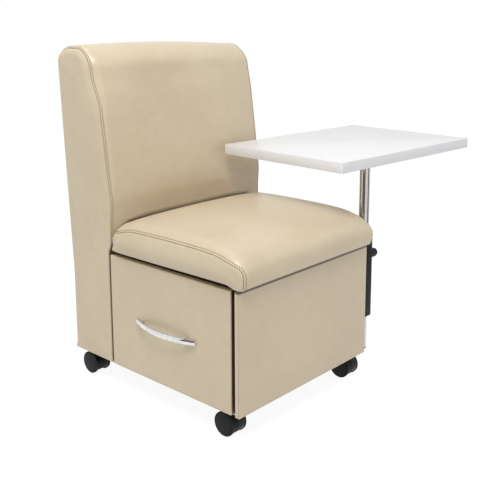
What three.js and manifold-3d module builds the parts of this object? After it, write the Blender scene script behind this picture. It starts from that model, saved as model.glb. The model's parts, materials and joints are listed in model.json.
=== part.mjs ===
// Manicure chair: an upholstered back and drawer box on twin-wheel casters, with a side table
// that slides and turns on a post. Millimetres, +Z up, the chair faces -Y and the table is at +X.
import * as THREE from 'three';
import { mergeVertices } from 'three/addons/utils/BufferGeometryUtils.js';
import Module from 'manifold-3d';

const wasm = await Module();
wasm.setup();

// Overall sizes
const FLOOR_CLEARANCE = 60;
const BOX_WIDTH = 462;
const BOX_DEPTH = 412;
const BOX_HEIGHT = 276;
const BACK_WIDTH = 544;
const BACK_DEPTH = 150;
const BACK_HEIGHT = 755;

// Clearances
const FIT = 0.3;
const RUNNING_FIT = 0.5;
const CUT_OVERRUN = 1;
const WELD_GAP = 0.003;

// Boards
const FRONT_PANEL_THICKNESS = 12;
const FRONT_PANEL_EDGE = 3;
const WALL_THICKNESS = 15;
const BOTTOM_THICKNESS = 15;
const TOP_RAIL_WIDTH = 62;
const TOP_RAIL_THICKNESS = 18;
const PANEL_CORNER = 3;

// Back upholstery
const BACK_FOAM = 28;
const BACK_SIDE_FOAM = 9;
const BACK_REAR_FOAM = 8;
const BACK_TOP_FOAM = 60;
const LEAN_ABOVE_BOX = 124;
const BACK_LEAN = THREE.MathUtils.degToRad(7.5);
const REAR_LEAN_START = 200;
const REAR_LEAN = THREE.MathUtils.degToRad(3.4);
const BACK_TOP_FRONT_RADIUS = 92;
const BACK_TOP_REAR_RADIUS = 43;
const BACK_TOP_CORNER_RADIUS = 24;
const BACK_EDGE_RADIUS = 18;
const BACK_LOW_EDGE_RADIUS = 6;
const BACK_REAR_EDGE_RADIUS = 8;
const BACK_BOTTOM_EDGE = 4;
const BACK_CROWN = 7;
const BACK_PAD_RISE = 4;
const BACK_TOP_CROWN = 7;
const CROWN_GROWTH = 90;
const BACK_LEVEL_SPACING = 46;
const EDGE_LIMIT_SHARE = 0.33;
const BACK_ARC_STEPS = 6;
const BACK_FACE_STEPS = 8;
const STILE_THICKNESS = 18;
const BACK_BOARD_THICKNESS = 10;
const BACK_TOP_RAIL_HEIGHT = 40;

// Seat
const SEAT_BOARD_THICKNESS = 12;
const SEAT_BOARD_INSET = 24;
const SEAT_OVERHANG = 13;
const SEAT_SIDE_BULGE = 12;
const SEAT_FRONT_BULGE = 5;
const SEAT_EDGE_HEIGHT = 86;
const SEAT_CROWN = 9;
const SEAT_BOTTOM_RADIUS = 9;
const SEAT_TOP_RADIUS = 27;
const SEAT_CORNER_RADIUS = 13;
const SEAT_FRONT_DROP = 28;
const SEAT_FRONT_DROP_LENGTH = 54;
const SEAT_REAR_DROP = 12;
const SEAT_REAR_DROP_LENGTH = 80;
const SEAT_FACE_STEPS = 8;
const SEAT_ARC_STEPS = 4;
const SEAT_LOW_STEPS = 2;
const SEAT_SWELL_SHARES = [[0.32, 0.8], [0.62, 1]];
const SEAT_SHOULDER_SHARE = 0.92;
const SEAT_INNER_SHARES = [0.8, 0.5, 0.2];

// Drawer
const DRAWER_GAP = 11.5;
const DRAWER_FRONT_THICKNESS = 16;
const DRAWER_FRONT_EDGE = 4;
const DRAWER_TOP_GAP = 3;
const DRAWER_LOW_GAP = 0;
const DRAWER_REAR_GAP = 2;
const DRAWER_SIDE_THICKNESS = 12;
const DRAWER_SIDE_HEIGHT = 180;
const DRAWER_REAR_SPACE = 59;
const DRAWER_BASE = 34;
const DRAWER_BOTTOM_THICKNESS = 6;
const RUNNER_SHORTER = 12;
const RUNNER_HEIGHT = 24;
const RUNNER_WALL = 1.6;
const RUNNER_SPACE = 12.4;
const RUNNER_LIP = 5;
const RUNNER_LEVEL = 70;
const SLIDER_HEIGHT = 16;

// Handle
const HANDLE_LENGTH = 188;
const HANDLE_PROJECTION = 28;
const HANDLE_HEIGHT = 12;
const HANDLE_BAND = 4.5;
const HANDLE_FOOT = 25;
const HANDLE_LEVEL = 135;
const HANDLE_REARWARD = 18;
const HANDLE_SCREW_SPACING = 160;
const HANDLE_SCREW_RADIUS = 2;
const HANDLE_SCREW_HEAD_RADIUS = 4;
const HANDLE_SCREW_HEAD = 2.5;
const HANDLE_SCREW_BITE = 3;
const HANDLE_STEPS = 16;

// Table
const TABLE_LENGTH = 538;
const TABLE_SHORTER = 17;
const TABLE_THICKNESS = 25;
const TABLE_BAND = 1;
const TABLE_CORNER_RADIUS = 3;
const TABLE_HEIGHT = 468;
const TABLE_TURN = THREE.MathUtils.degToRad(-3.9);
const POST_TO_TABLE_EDGE = 39;
const POST_TO_TABLE_END = 135.5;
const FLANGE_THICKNESS = 3;
const FLANGE_LENGTH = 60;
const FLANGE_DEPTH = 52;
const COLLAR_RADIUS = 15;
const COLLAR_HEIGHT = 8;

// Post and its sleeve
const POST_RADIUS = 12.7;
const POST_WALL = 1.5;
const POST_FROM_FRONT = 27.5;
const POST_END_LEVEL = 0;
const PLUG_DEPTH = 12;
const PLUG_CAP = 3;
const SLEEVE_SIZE = 34;
const SLEEVE_WALL = 2;
const SLEEVE_BOTTOM = 84;
const SLEEVE_RISE = 10;
const SLEEVE_PLATE_THICKNESS = 3;
const SLEEVE_STANDOFF = 6;
const STANDOFF_HEIGHT = 24;
const SLEEVE_PLATE_WIDTH = 54;
const SLEEVE_PLATE_MARGIN = 21;
const BUSH_LENGTH = 18;
const KNOB_DROP = 39;
const KNOB_RADIUS = 10.5;
const KNOB_LENGTH = 27;
const KNOB_LOBES = 6;
const KNOB_LOBE_DEPTH = 1.4;
const KNOB_LOBE_STEPS = 4;
const KNOB_PROFILE_SHARES = [[0, 0.7], [0.12, 1], [0.85, 1], [1, 0.82]];
const BOSS_RADIUS = 10;
const BOSS_LENGTH = 5;
const CLAMP_SCREW_RADIUS = 3;
const CLAMP_SCREW_IN_KNOB = 11;

// Casters
const WHEEL_RADIUS = 27.5;
const WHEEL_RIM_WIDTH = 5;
const WHEEL_HUB_RADIUS = 23;
const WHEEL_DOME = 1.2;
const WHEEL_SHOULDER_SHARE = 0.75;
const WHEEL_CHAMFER = 1.5;
const CASTER_WIDTH = 42;
const CASTER_WEB = 8;
const CASTER_TRAIL = 14;
const HOOD_WALL = 3.5;
const HOOD_CUT_LEVEL = 12;
const AXLE_RADIUS = 3;
const AXLE_END_WALL = 3;
const CASTER_BOSS_RADIUS = 8;
const KINGPIN_RADIUS = 4;
const KINGPIN_LENGTH = 11;
const CASTER_PLATE_SIZE = 36;
const CASTER_PLATE_THICKNESS = 2.5;
const CASTER_PLATE_CORNER = 4;
const CASTER_SIDE_INSET = 30;
const CASTER_FRONT_INSET = 39;
const CASTER_RIGHT_SIDE_INSET = 32;
const CASTER_RIGHT_FRONT_INSET = 24;
const CASTER_REAR_INSET = 60;

// Facets
const ROUND_SIDES = 24;
const SMALL_SIDES = 16;
const CORNER_STEPS = 4;
const HOLE_SIDES = 12;

// Places that follow from the sizes
const UNDERSIDE = FLOOR_CLEARANCE;
const BOX_LEFT = -BOX_WIDTH / 2;
const BOX_RIGHT = BOX_WIDTH / 2;
const BOX_TOP = UNDERSIDE + BOX_HEIGHT;
const BACK_FRONT = BOX_DEPTH + FIT;
const BACK_REAR = BACK_FRONT + BACK_DEPTH;
const BACK_LEFT = BOX_LEFT;
const BACK_RIGHT = BOX_LEFT + BACK_WIDTH;
const BACK_LEAN_START = BOX_HEIGHT + LEAN_ABOVE_BOX;
const BACK_CROWN_START = BOX_HEIGHT + SEAT_EDGE_HEIGHT - SEAT_REAR_DROP;
const DRAWER_FACE = BOX_LEFT;
const DRAWER_INSIDE = DRAWER_FACE + DRAWER_FRONT_THICKNESS;
const CARCASS_LEFT = DRAWER_INSIDE + RUNNING_FIT;
const SIDE_WALL_INNER = BOX_RIGHT - WALL_THICKNESS;
const FRONT_WALL_FACE = FRONT_PANEL_THICKNESS;
const FRONT_WALL_INNER = FRONT_WALL_FACE + WALL_THICKNESS;
const REAR_WALL_INNER = BOX_DEPTH - WALL_THICKNESS;
const HANDLE_MIDDLE = BOX_DEPTH / 2 + HANDLE_REARWARD;
const DRAWER_LENGTH = SIDE_WALL_INNER - DRAWER_INSIDE - DRAWER_REAR_SPACE;
const RUNNER_LENGTH = DRAWER_LENGTH - RUNNER_SHORTER;
const SLEEVE_LENGTH = BOX_HEIGHT + SLEEVE_RISE - SLEEVE_BOTTOM;
const SLEEVE_PLATE_HEIGHT = BOX_HEIGHT - SLEEVE_BOTTOM - 2 * SLEEVE_PLATE_MARGIN;
const KNOB_LEVEL = BOX_HEIGHT - KNOB_DROP;
const TABLE_WIDTH = BOX_DEPTH - TABLE_SHORTER;
const POST_X = BOX_RIGHT + SLEEVE_PLATE_THICKNESS + SLEEVE_STANDOFF + SLEEVE_SIZE / 2;
const POST_Y = POST_FROM_FRONT;
const TABLE_UNDERSIDE = UNDERSIDE + TABLE_HEIGHT;

// Finishes
const finishes = {
  vinyl: new THREE.MeshStandardMaterial({ color: 0xc9bb9b, roughness: 0.48, metalness: 0 }),
  timber: new THREE.MeshStandardMaterial({ color: 0xb58e5e, roughness: 0.75, metalness: 0 }),
  laminate: new THREE.MeshStandardMaterial({ color: 0xf4f4f2, roughness: 0.4, metalness: 0 }),
  chrome: new THREE.MeshStandardMaterial({ color: 0xd8dadc, roughness: 0.12, metalness: 1 }),
  blackSteel: new THREE.MeshStandardMaterial({ color: 0x141414, roughness: 0.45, metalness: 0.3 }),
  zinc: new THREE.MeshStandardMaterial({ color: 0xb4b6b8, roughness: 0.35, metalness: 1 }),
  blackPlastic: new THREE.MeshStandardMaterial({ color: 0x1a1a1a, roughness: 0.5, metalness: 0 }),
};

const chair = new THREE.Group();

// Shape helpers

function add(parent, name, geometry, finish) {
  const mesh = new THREE.Mesh(geometry, finishes[finish]);
  mesh.name = name;
  parent.add(mesh);
  return mesh;
}

// A box between two places on each axis, with its corners exactly on them.
function block(x0, x1, y0, y1, z0, z1) {
  const geometry = new THREE.BoxGeometry();
  const corners = geometry.getAttribute('position');
  for (let i = 0; i < corners.count; i += 1) {
    const x = corners.getX(i) < 0 ? x0 : x1;
    const y = corners.getY(i) < 0 ? y0 : y1;
    corners.setXYZ(i, x, y, corners.getZ(i) < 0 ? z0 : z1);
  }
  return geometry;
}

function toSolid(geometry) {
  const bare = new THREE.BufferGeometry();
  bare.setAttribute('position', geometry.getAttribute('position'));
  if (geometry.index) bare.setIndex(geometry.index);
  const merged = mergeVertices(bare, WELD_GAP);
  return new wasm.Manifold(new wasm.Mesh({
    numProp: 3,
    vertProperties: new Float32Array(merged.getAttribute('position').array),
    triVerts: new Uint32Array(merged.index.array),
  }));
}

function toGeometry(solid) {
  const mesh = solid.getMesh();
  const geometry = new THREE.BufferGeometry();
  geometry.setAttribute('position', new THREE.BufferAttribute(mesh.vertProperties, mesh.numProp));
  geometry.setIndex(new THREE.BufferAttribute(mesh.triVerts, 1));
  return geometry;
}

function join(...geometries) {
  return toGeometry(geometries.map(toSolid).reduce((sum, part) => sum.add(part)));
}

function cut(geometry, ...tools) {
  return toGeometry(tools.map(toSolid).reduce((rest, tool) => rest.subtract(tool), toSolid(geometry)));
}

// A cylinder along an axis ('x', 'y' or 'z'), from one place on it to another.
function rod(axis, radius, start, end, sides = ROUND_SIDES) {
  const geometry = new THREE.CylinderGeometry(radius, radius, end - start, sides);
  geometry.translate(0, (start + end) / 2, 0);
  if (axis === 'x') geometry.rotateZ(-Math.PI / 2);
  if (axis === 'z') geometry.rotateX(Math.PI / 2);
  return geometry;
}

// A prism of an outline in the YZ plane, given as [y, z] points, from x0 to x1.
function prismAlongX(outline, x0, x1) {
  const shape = new THREE.Shape(outline.map(([y, z]) => new THREE.Vector2(y, z)));
  const geometry = new THREE.ExtrudeGeometry(shape, { depth: x1 - x0, bevelEnabled: false });
  const turn = new THREE.Matrix4().makeBasis(
    new THREE.Vector3(0, 1, 0), new THREE.Vector3(0, 0, 1), new THREE.Vector3(1, 0, 0));
  return geometry.applyMatrix4(turn).translate(x0, 0, 0);
}

// A prism of an outline in the XY plane, given as a THREE.Shape, from z0 to z1.
function prismAlongZ(shape, z0, z1, curveSegments = CORNER_STEPS) {
  const geometry = new THREE.ExtrudeGeometry(shape, { depth: z1 - z0, bevelEnabled: false, curveSegments });
  return geometry.translate(0, 0, z0);
}

// The outline of a rectangle whose four corners have their own radii, counter-clockwise from low left.
// sideSteps says how many pieces the low, right, high and left sides are cut into.
function roundedOutline(x0, x1, y0, y1, radii, sideSteps = [1, 1, 1, 1], cornerSteps = CORNER_STEPS) {
  const corners = [
    { x: x1, y: y0, towardsX: -1, towardsY: 1, from: -Math.PI / 2 },
    { x: x1, y: y1, towardsX: -1, towardsY: -1, from: 0 },
    { x: x0, y: y1, towardsX: 1, towardsY: -1, from: Math.PI / 2 },
    { x: x0, y: y0, towardsX: 1, towardsY: 1, from: Math.PI },
  ];
  const arcs = corners.map((corner, i) => {
    const r = radii[i];
    const points = [];
    for (let k = 0; k <= cornerSteps; k += 1) {
      const angle = corner.from + (Math.PI / 2) * (k / cornerSteps);
      const centreX = corner.x + corner.towardsX * r;
      const centreY = corner.y + corner.towardsY * r;
      points.push(new THREE.Vector2(centreX + r * Math.cos(angle), centreY + r * Math.sin(angle)));
    }
    return points;
  });
  const outline = [];
  for (let i = 0; i < arcs.length; i += 1) {
    const before = arcs[(i + arcs.length - 1) % arcs.length];
    const start = before[before.length - 1];
    const end = arcs[i][0];
    for (let k = 1; k < sideSteps[i]; k += 1) {
      outline.push(start.clone().lerp(end, k / sideSteps[i]));
    }
    outline.push(...arcs[i]);
  }
  return outline;
}

// A closed skin over a stack of rings with the same number of points, each end closed by a fan.
function loft(rings) {
  const count = rings[0].length;
  const points = rings.flat();
  const first = points.length;
  const last = first + 1;
  for (const ring of [rings[0], rings[rings.length - 1]]) {
    const middle = new THREE.Vector3();
    ring.forEach((point) => middle.add(point));
    points.push(middle.divideScalar(count));
  }
  const index = [];
  for (let i = 0; i < count; i += 1) {
    const j = (i + 1) % count;
    index.push(first, j, i);
    for (let k = 0; k < rings.length - 1; k += 1) {
      const low = k * count;
      const high = low + count;
      index.push(low + i, low + j, high + j, low + i, high + j, high + i);
    }
    const top = (rings.length - 1) * count;
    index.push(last, top + i, top + j);
  }
  const places = points.flatMap((p) => [p.x, p.y, p.z]);
  const geometry = new THREE.BufferGeometry();
  geometry.setAttribute('position', new THREE.Float32BufferAttribute(places, 3));
  geometry.setIndex(index);
  return geometry;
}

// An upholstered board: flat behind, its face edges rounded. Face up the +Z axis from z = 0.
function softBoard(width, height, thickness, edge) {
  const levels = [[0, 0]];
  for (let k = 0; k <= CORNER_STEPS; k += 1) {
    const angle = (Math.PI / 2) * (k / CORNER_STEPS);
    levels.push([edge * (1 - Math.cos(angle)), thickness - edge * (1 - Math.sin(angle))]);
  }
  return loft(levels.map(([inset, z]) => {
    const radius = PANEL_CORNER + edge - inset;
    return roundedOutline(inset, width - inset, inset, height - inset, Array(4).fill(radius))
      .map((p) => new THREE.Vector3(p.x, p.y, z));
  }));
}

// A smooth step from 0 to 1 between two places.
function ease(value, start, end) {
  const share = THREE.MathUtils.clamp((value - start) / (end - start), 0, 1);
  return share * share * (3 - 2 * share);
}

// How far a round edge of this radius has drawn in at a place past its start.
function roundOff(past, radius) {
  const along = THREE.MathUtils.clamp(past, 0, radius);
  return radius - Math.sqrt(radius * radius - along * along);
}

// Box under the seat

function buildCarcass() {
  const panel = softBoard(BOX_WIDTH, BOX_HEIGHT, FRONT_PANEL_THICKNESS, FRONT_PANEL_EDGE);
  panel.rotateX(Math.PI / 2).translate(BOX_LEFT, FRONT_PANEL_THICKNESS, UNDERSIDE);
  add(chair, 'front_panel', panel, 'vinyl');
  add(chair, 'carcass_front_wall', block(CARCASS_LEFT, SIDE_WALL_INNER, FRONT_WALL_FACE, FRONT_WALL_INNER,
    UNDERSIDE, BOX_TOP), 'timber');
  add(chair, 'carcass_side_wall', block(SIDE_WALL_INNER, BOX_RIGHT, FRONT_WALL_FACE, BOX_DEPTH,
    UNDERSIDE, BOX_TOP), 'vinyl');
  add(chair, 'carcass_rear_wall', block(CARCASS_LEFT, SIDE_WALL_INNER, REAR_WALL_INNER, BOX_DEPTH,
    UNDERSIDE, BOX_TOP), 'timber');
  add(chair, 'carcass_bottom', block(CARCASS_LEFT, SIDE_WALL_INNER, FRONT_WALL_INNER, REAR_WALL_INNER,
    UNDERSIDE, UNDERSIDE + BOTTOM_THICKNESS), 'timber');
  add(chair, 'carcass_top_rail', block(CARCASS_LEFT, CARCASS_LEFT + TOP_RAIL_WIDTH, FRONT_WALL_INNER,
    REAR_WALL_INNER, BOX_TOP - TOP_RAIL_THICKNESS, BOX_TOP), 'timber');
}

// Upholstered back

function backFrontAt(height) {
  const lean = Math.max(0, height - BACK_LEAN_START) * Math.tan(BACK_LEAN);
  return BACK_FRONT + lean + roundOff(height - (BACK_HEIGHT - BACK_TOP_FRONT_RADIUS), BACK_TOP_FRONT_RADIUS);
}

function backRearAt(height) {
  const lean = Math.max(0, height - REAR_LEAN_START) * Math.tan(REAR_LEAN);
  return BACK_REAR + lean - roundOff(height - (BACK_HEIGHT - BACK_TOP_REAR_RADIUS), BACK_TOP_REAR_RADIUS);
}

function backRing(height, inset) {
  const side = inset + roundOff(height - (BACK_HEIGHT - BACK_TOP_CORNER_RADIUS), BACK_TOP_CORNER_RADIUS);
  const x0 = BACK_LEFT + side;
  const x1 = BACK_RIGHT - side;
  const y0 = backFrontAt(height) + inset;
  const y1 = backRearAt(height) - inset;
  const padded = ease(height, BACK_CROWN_START, BACK_CROWN_START + CROWN_GROWTH);
  const edge = BACK_LOW_EDGE_RADIUS + padded * (BACK_EDGE_RADIUS - BACK_LOW_EDGE_RADIUS);
  const limit = (y1 - y0) * EDGE_LIMIT_SHARE;
  const front = Math.min(edge, limit);
  const rear = Math.min(BACK_REAR_EDGE_RADIUS, limit);
  const flat = BACK_HEIGHT - BACK_TOP_FRONT_RADIUS;
  const fade = padded * (1 - ease(height, flat, BACK_HEIGHT));
  const rise = ease(height, flat, BACK_HEIGHT);
  const middle = (x0 + x1) / 2;
  const reach = (x1 - x0) / 2;
  return roundedOutline(x0, x1, y0, y1, [front, rear, rear, front], [BACK_FACE_STEPS, 2, 2, 2]).map((p) => {
    const across = (p.x - middle) / reach;
    const bow = 1 - across * across;
    const forward = p.y < y0 + front ? fade * (BACK_PAD_RISE + BACK_CROWN * bow) : 0;
    return new THREE.Vector3(p.x, p.y - forward, UNDERSIDE + height + rise * BACK_TOP_CROWN * bow);
  });
}

// The room for the timber frame inside the upholstery, open below.
function backHollow(x0, x1) {
  const top = BACK_HEIGHT - BACK_TOP_FOAM;
  const outline = [
    [BACK_FRONT + BACK_FOAM, UNDERSIDE - CUT_OVERRUN],
    [BACK_REAR - BACK_REAR_FOAM, UNDERSIDE - CUT_OVERRUN],
    [BACK_REAR - BACK_REAR_FOAM, UNDERSIDE + REAR_LEAN_START],
    [backRearAt(top) - BACK_REAR_FOAM, UNDERSIDE + top],
    [backFrontAt(top) + BACK_FOAM, UNDERSIDE + top],
    [BACK_FRONT + BACK_FOAM, UNDERSIDE + BACK_LEAN_START],
  ];
  return prismAlongX(outline, x0, x1);
}

// All that lies behind the frame, up to the rear seam, and a gap more where one is given.
function backRearStrip(x0, x1, gap) {
  const top = BACK_HEIGHT - BACK_TOP_FOAM;
  const outline = [
    [BACK_REAR - BACK_REAR_FOAM - gap, UNDERSIDE - CUT_OVERRUN],
    [BACK_REAR + BACK_DEPTH, UNDERSIDE - CUT_OVERRUN],
    [BACK_REAR + BACK_DEPTH, UNDERSIDE + top + gap],
    [backRearAt(top) - BACK_REAR_FOAM - gap, UNDERSIDE + top + gap],
    [BACK_REAR - BACK_REAR_FOAM - gap, UNDERSIDE + REAR_LEAN_START],
  ];
  return prismAlongX(outline, x0, x1);
}

function buildBack() {
  const levels = [[0, BACK_BOTTOM_EDGE], [BACK_BOTTOM_EDGE, 0]];
  const flat = BACK_HEIGHT - BACK_TOP_FRONT_RADIUS;
  const count = Math.round(flat / BACK_LEVEL_SPACING);
  for (let k = 1; k < count; k += 1) levels.push([flat * (k / count), 0]);
  for (let k = 0; k <= BACK_ARC_STEPS; k += 1) {
    const rise = BACK_TOP_FRONT_RADIUS * Math.sin((Math.PI / 2) * (k / BACK_ARC_STEPS));
    levels.push([flat + rise, 0]);
  }
  const skin = toSolid(loft(levels.map(([height, inset]) => backRing(height, inset))));
  const left = BACK_LEFT + BACK_SIDE_FOAM;
  const right = BACK_RIGHT - BACK_SIDE_FOAM;
  const reach = BACK_WIDTH + BACK_HEIGHT;
  const slice = (x0, x1) => toSolid(block(x0, x1, -reach, reach, -reach, reach));
  add(chair, 'back_side_panel_left', toGeometry(skin.intersect(slice(-reach, left - FIT / 2))), 'vinyl');
  add(chair, 'back_side_panel_right', toGeometry(skin.intersect(slice(right + FIT / 2, reach))), 'vinyl');
  const band = skin.intersect(slice(left + FIT / 2, right - FIT / 2));
  const hollow = toSolid(backHollow(-reach, reach));
  const rearStrip = toSolid(backRearStrip(-reach, reach, 0));
  const rearCut = toSolid(backRearStrip(-reach, reach, FIT));
  add(chair, 'back_pad', toGeometry(band.subtract(hollow).subtract(rearCut)), 'vinyl');
  add(chair, 'back_rear_panel', toGeometry(band.intersect(rearStrip)), 'vinyl');

  const floor = UNDERSIDE + BOTTOM_THICKNESS;
  const x0 = left + FIT;
  const x1 = right - FIT;
  const front = BACK_FRONT + BACK_FOAM + FIT;
  const rear = BACK_REAR - BACK_REAR_FOAM - FIT;
  add(chair, 'back_bottom_board', block(x0, x1, front, rear, UNDERSIDE, floor), 'timber');

  const tall = BACK_HEIGHT - BACK_TOP_FOAM - FIT;
  const behind = BACK_BOARD_THICKNESS;
  const leanTop = backFrontAt(tall) + BACK_FOAM + FIT;
  const rearTop = backRearAt(tall) - BACK_REAR_FOAM - FIT;
  const stile = [
    [front + behind, floor],
    [rear, floor],
    [rear, UNDERSIDE + REAR_LEAN_START],
    [rearTop, UNDERSIDE + tall],
    [leanTop + behind, UNDERSIDE + tall],
    [front + behind, UNDERSIDE + BACK_LEAN_START],
  ];
  add(chair, 'back_stile_left', prismAlongX(stile, x0, x0 + STILE_THICKNESS), 'timber');
  add(chair, 'back_stile_right', prismAlongX(stile, x1 - STILE_THICKNESS, x1), 'timber');
  const faceBoard = [
    [front, floor],
    [front + behind, floor],
    [front + behind, UNDERSIDE + BACK_LEAN_START],
    [leanTop + behind, UNDERSIDE + tall],
    [leanTop, UNDERSIDE + tall],
    [front, UNDERSIDE + BACK_LEAN_START],
  ];
  add(chair, 'back_front_board', prismAlongX(faceBoard, x0, x1), 'timber');
  const railTop = UNDERSIDE + tall;
  const railLow = railTop - BACK_TOP_RAIL_HEIGHT;
  const railFront = backFrontAt(tall) + BACK_FOAM + FIT + behind;
  const railRear = backRearAt(tall - BACK_TOP_RAIL_HEIGHT) - BACK_REAR_FOAM - FIT;
  add(chair, 'back_top_rail', block(x0 + STILE_THICKNESS, x1 - STILE_THICKNESS,
    railFront, railRear, railLow, railTop), 'timber');
}

// Seat

function seatTopAt(x, y) {
  const half = BOX_WIDTH / 2;
  const middle = (BOX_DEPTH - SEAT_OVERHANG) / 2;
  const reach = (BOX_DEPTH + SEAT_OVERHANG) / 2;
  const across = x / half;
  const along = (y - middle) / reach;
  const crown = SEAT_CROWN * Math.max(0, 1 - across * across) * Math.max(0, 1 - along * along);
  const front = 1 - ease(y, -SEAT_OVERHANG, SEAT_FRONT_DROP_LENGTH);
  const rear = ease(y, BOX_DEPTH - SEAT_REAR_DROP_LENGTH, BOX_DEPTH);
  return BOX_TOP + SEAT_EDGE_HEIGHT + crown - SEAT_FRONT_DROP * front * front - SEAT_REAR_DROP * rear * rear;
}

function seatRing(inset, drop, lift, swell) {
  const outward = SEAT_SIDE_BULGE * swell;
  const forward = SEAT_FRONT_BULGE * swell;
  const x0 = BOX_LEFT - outward + inset;
  const x1 = BOX_RIGHT + outward - inset;
  const y0 = -SEAT_OVERHANG - forward + inset;
  const y1 = BOX_DEPTH - inset;
  const radius = Math.max(SEAT_CORNER_RADIUS - inset, PANEL_CORNER);
  const steps = [SEAT_FACE_STEPS, SEAT_FACE_STEPS, SEAT_FACE_STEPS, SEAT_FACE_STEPS];
  return roundedOutline(x0, x1, y0, y1, Array(4).fill(radius), steps).map((p) => {
    const top = seatTopAt(p.x, p.y);
    const low = BOX_TOP + FIT;
    return new THREE.Vector3(p.x, p.y, lift < 1 ? low + (top - drop - low) * lift : top - drop);
  });
}

function seatInnerRing(share) {
  const ring = seatRing(SEAT_TOP_RADIUS, 0, 1, 0);
  const middle = new THREE.Vector3(0, (BOX_DEPTH - SEAT_OVERHANG) / 2, 0);
  return ring.map((p) => {
    const x = middle.x + (p.x - middle.x) * share;
    const y = middle.y + (p.y - middle.y) * share;
    return new THREE.Vector3(x, y, seatTopAt(x, y));
  });
}

function buildSeat() {
  const rings = [];
  const sideShare = SEAT_BOTTOM_RADIUS / (SEAT_EDGE_HEIGHT - SEAT_TOP_RADIUS);
  for (let k = 0; k <= SEAT_LOW_STEPS; k += 1) {
    const angle = (Math.PI / 2) * (k / SEAT_LOW_STEPS);
    const inset = SEAT_BOTTOM_RADIUS * (1 - Math.sin(angle));
    rings.push(seatRing(inset, SEAT_TOP_RADIUS, sideShare * (1 - Math.cos(angle)), 0));
  }
  SEAT_SWELL_SHARES.forEach(([lift, swell]) => rings.push(seatRing(0, SEAT_TOP_RADIUS, lift, swell)));
  for (let k = 0; k <= SEAT_ARC_STEPS; k += 1) {
    const angle = (Math.PI / 2) * (k / SEAT_ARC_STEPS);
    const inset = SEAT_TOP_RADIUS * (1 - Math.cos(angle));
    const drop = SEAT_TOP_RADIUS * (1 - Math.sin(angle));
    rings.push(seatRing(inset, drop, 1, SEAT_SHOULDER_SHARE * Math.cos(angle)));
  }
  SEAT_INNER_SHARES.forEach((share) => rings.push(seatInnerRing(share)));
  const cushion = loft(rings);
  const x0 = BOX_LEFT + SEAT_BOARD_INSET;
  const x1 = BOX_RIGHT - SEAT_BOARD_INSET;
  const y0 = SEAT_BOARD_INSET - SEAT_OVERHANG;
  const y1 = BOX_DEPTH - SEAT_BOARD_INSET;
  const top = BOX_TOP + SEAT_BOARD_THICKNESS;
  const recess = block(x0 - FIT, x1 + FIT, y0 - FIT, y1 + FIT, BOX_TOP - CUT_OVERRUN, top + FIT);
  add(chair, 'seat_cushion', cut(cushion, recess), 'vinyl');
  add(chair, 'seat_board', block(x0, x1, y0, y1, BOX_TOP, top), 'timber');
}

// Drawer, its runners and its handle

function handlePlace() {
  return { y: HANDLE_MIDDLE, z: UNDERSIDE + HANDLE_LEVEL };
}

function handleOutline() {
  const shape = new THREE.Shape();
  const half = HANDLE_LENGTH / 2;
  const inner = half - HANDLE_FOOT;
  const bow = (place, reach, height) => height * (1 - (place / reach) * (place / reach));
  shape.moveTo(-half, 0);
  shape.lineTo(-inner, 0);
  for (let k = 1; k < HANDLE_STEPS; k += 1) {
    const place = -inner + 2 * inner * (k / HANDLE_STEPS);
    shape.lineTo(place, bow(place, inner, HANDLE_PROJECTION - HANDLE_BAND));
  }
  shape.lineTo(inner, 0);
  shape.lineTo(half, 0);
  shape.lineTo(half, HANDLE_BAND / 2);
  for (let k = HANDLE_STEPS - 1; k > 0; k -= 1) {
    const place = -half + 2 * half * (k / HANDLE_STEPS);
    shape.lineTo(place, HANDLE_BAND / 2 + bow(place, half, HANDLE_PROJECTION - HANDLE_BAND / 2));
  }
  shape.lineTo(-half, HANDLE_BAND / 2);
  return shape;
}

function buildHandle() {
  const place = handlePlace();
  const band = prismAlongZ(handleOutline(), -HANDLE_HEIGHT / 2, HANDLE_HEIGHT / 2);
  band.rotateZ(Math.PI / 2).translate(DRAWER_FACE - FIT, place.y, place.z);
  const ends = [['front', -1], ['rear', 1]];
  const screws = ends.map(([name, side]) => {
    const y = place.y + (side * HANDLE_SCREW_SPACING) / 2;
    const tip = DRAWER_FACE - FIT - HANDLE_SCREW_BITE;
    const hole = rod('x', HANDLE_SCREW_RADIUS + FIT, tip - FIT, DRAWER_INSIDE + CUT_OVERRUN, HOLE_SIDES);
    hole.translate(0, y, place.z);
    const shank = rod('x', HANDLE_SCREW_RADIUS, tip, DRAWER_INSIDE + FIT + HANDLE_SCREW_HEAD / 2, HOLE_SIDES);
    const head = rod('x', HANDLE_SCREW_HEAD_RADIUS, DRAWER_INSIDE + FIT,
      DRAWER_INSIDE + FIT + HANDLE_SCREW_HEAD, HOLE_SIDES);
    return { name, hole, solid: join(shank, head).translate(0, y, place.z) };
  });
  add(chair, 'drawer_handle', cut(band, ...screws.map((screw) => screw.hole)), 'chrome');
  screws.forEach((screw) => add(chair, `handle_screw_${screw.name}`, screw.solid, 'zinc'));
  return screws.map((screw) => screw.hole);
}

function runnerProfile(y, side) {
  const out = y;
  const inside = y - side * RUNNER_WALL;
  const lip = y - side * (RUNNER_SPACE - RUNNING_FIT);
  const lipBack = y - side * (RUNNER_SPACE - RUNNING_FIT - RUNNER_WALL);
  const low = UNDERSIDE + RUNNER_LEVEL;
  const high = low + RUNNER_HEIGHT;
  const points = [
    [out, low], [lip, low], [lip, low + RUNNER_LIP], [lipBack, low + RUNNER_LIP],
    [lipBack, low + RUNNER_WALL], [inside, low + RUNNER_WALL], [inside, high - RUNNER_WALL],
    [lipBack, high - RUNNER_WALL], [lipBack, high - RUNNER_LIP], [lip, high - RUNNER_LIP],
    [lip, high], [out, high],
  ];
  return side > 0 ? points : points.reverse();
}

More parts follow.
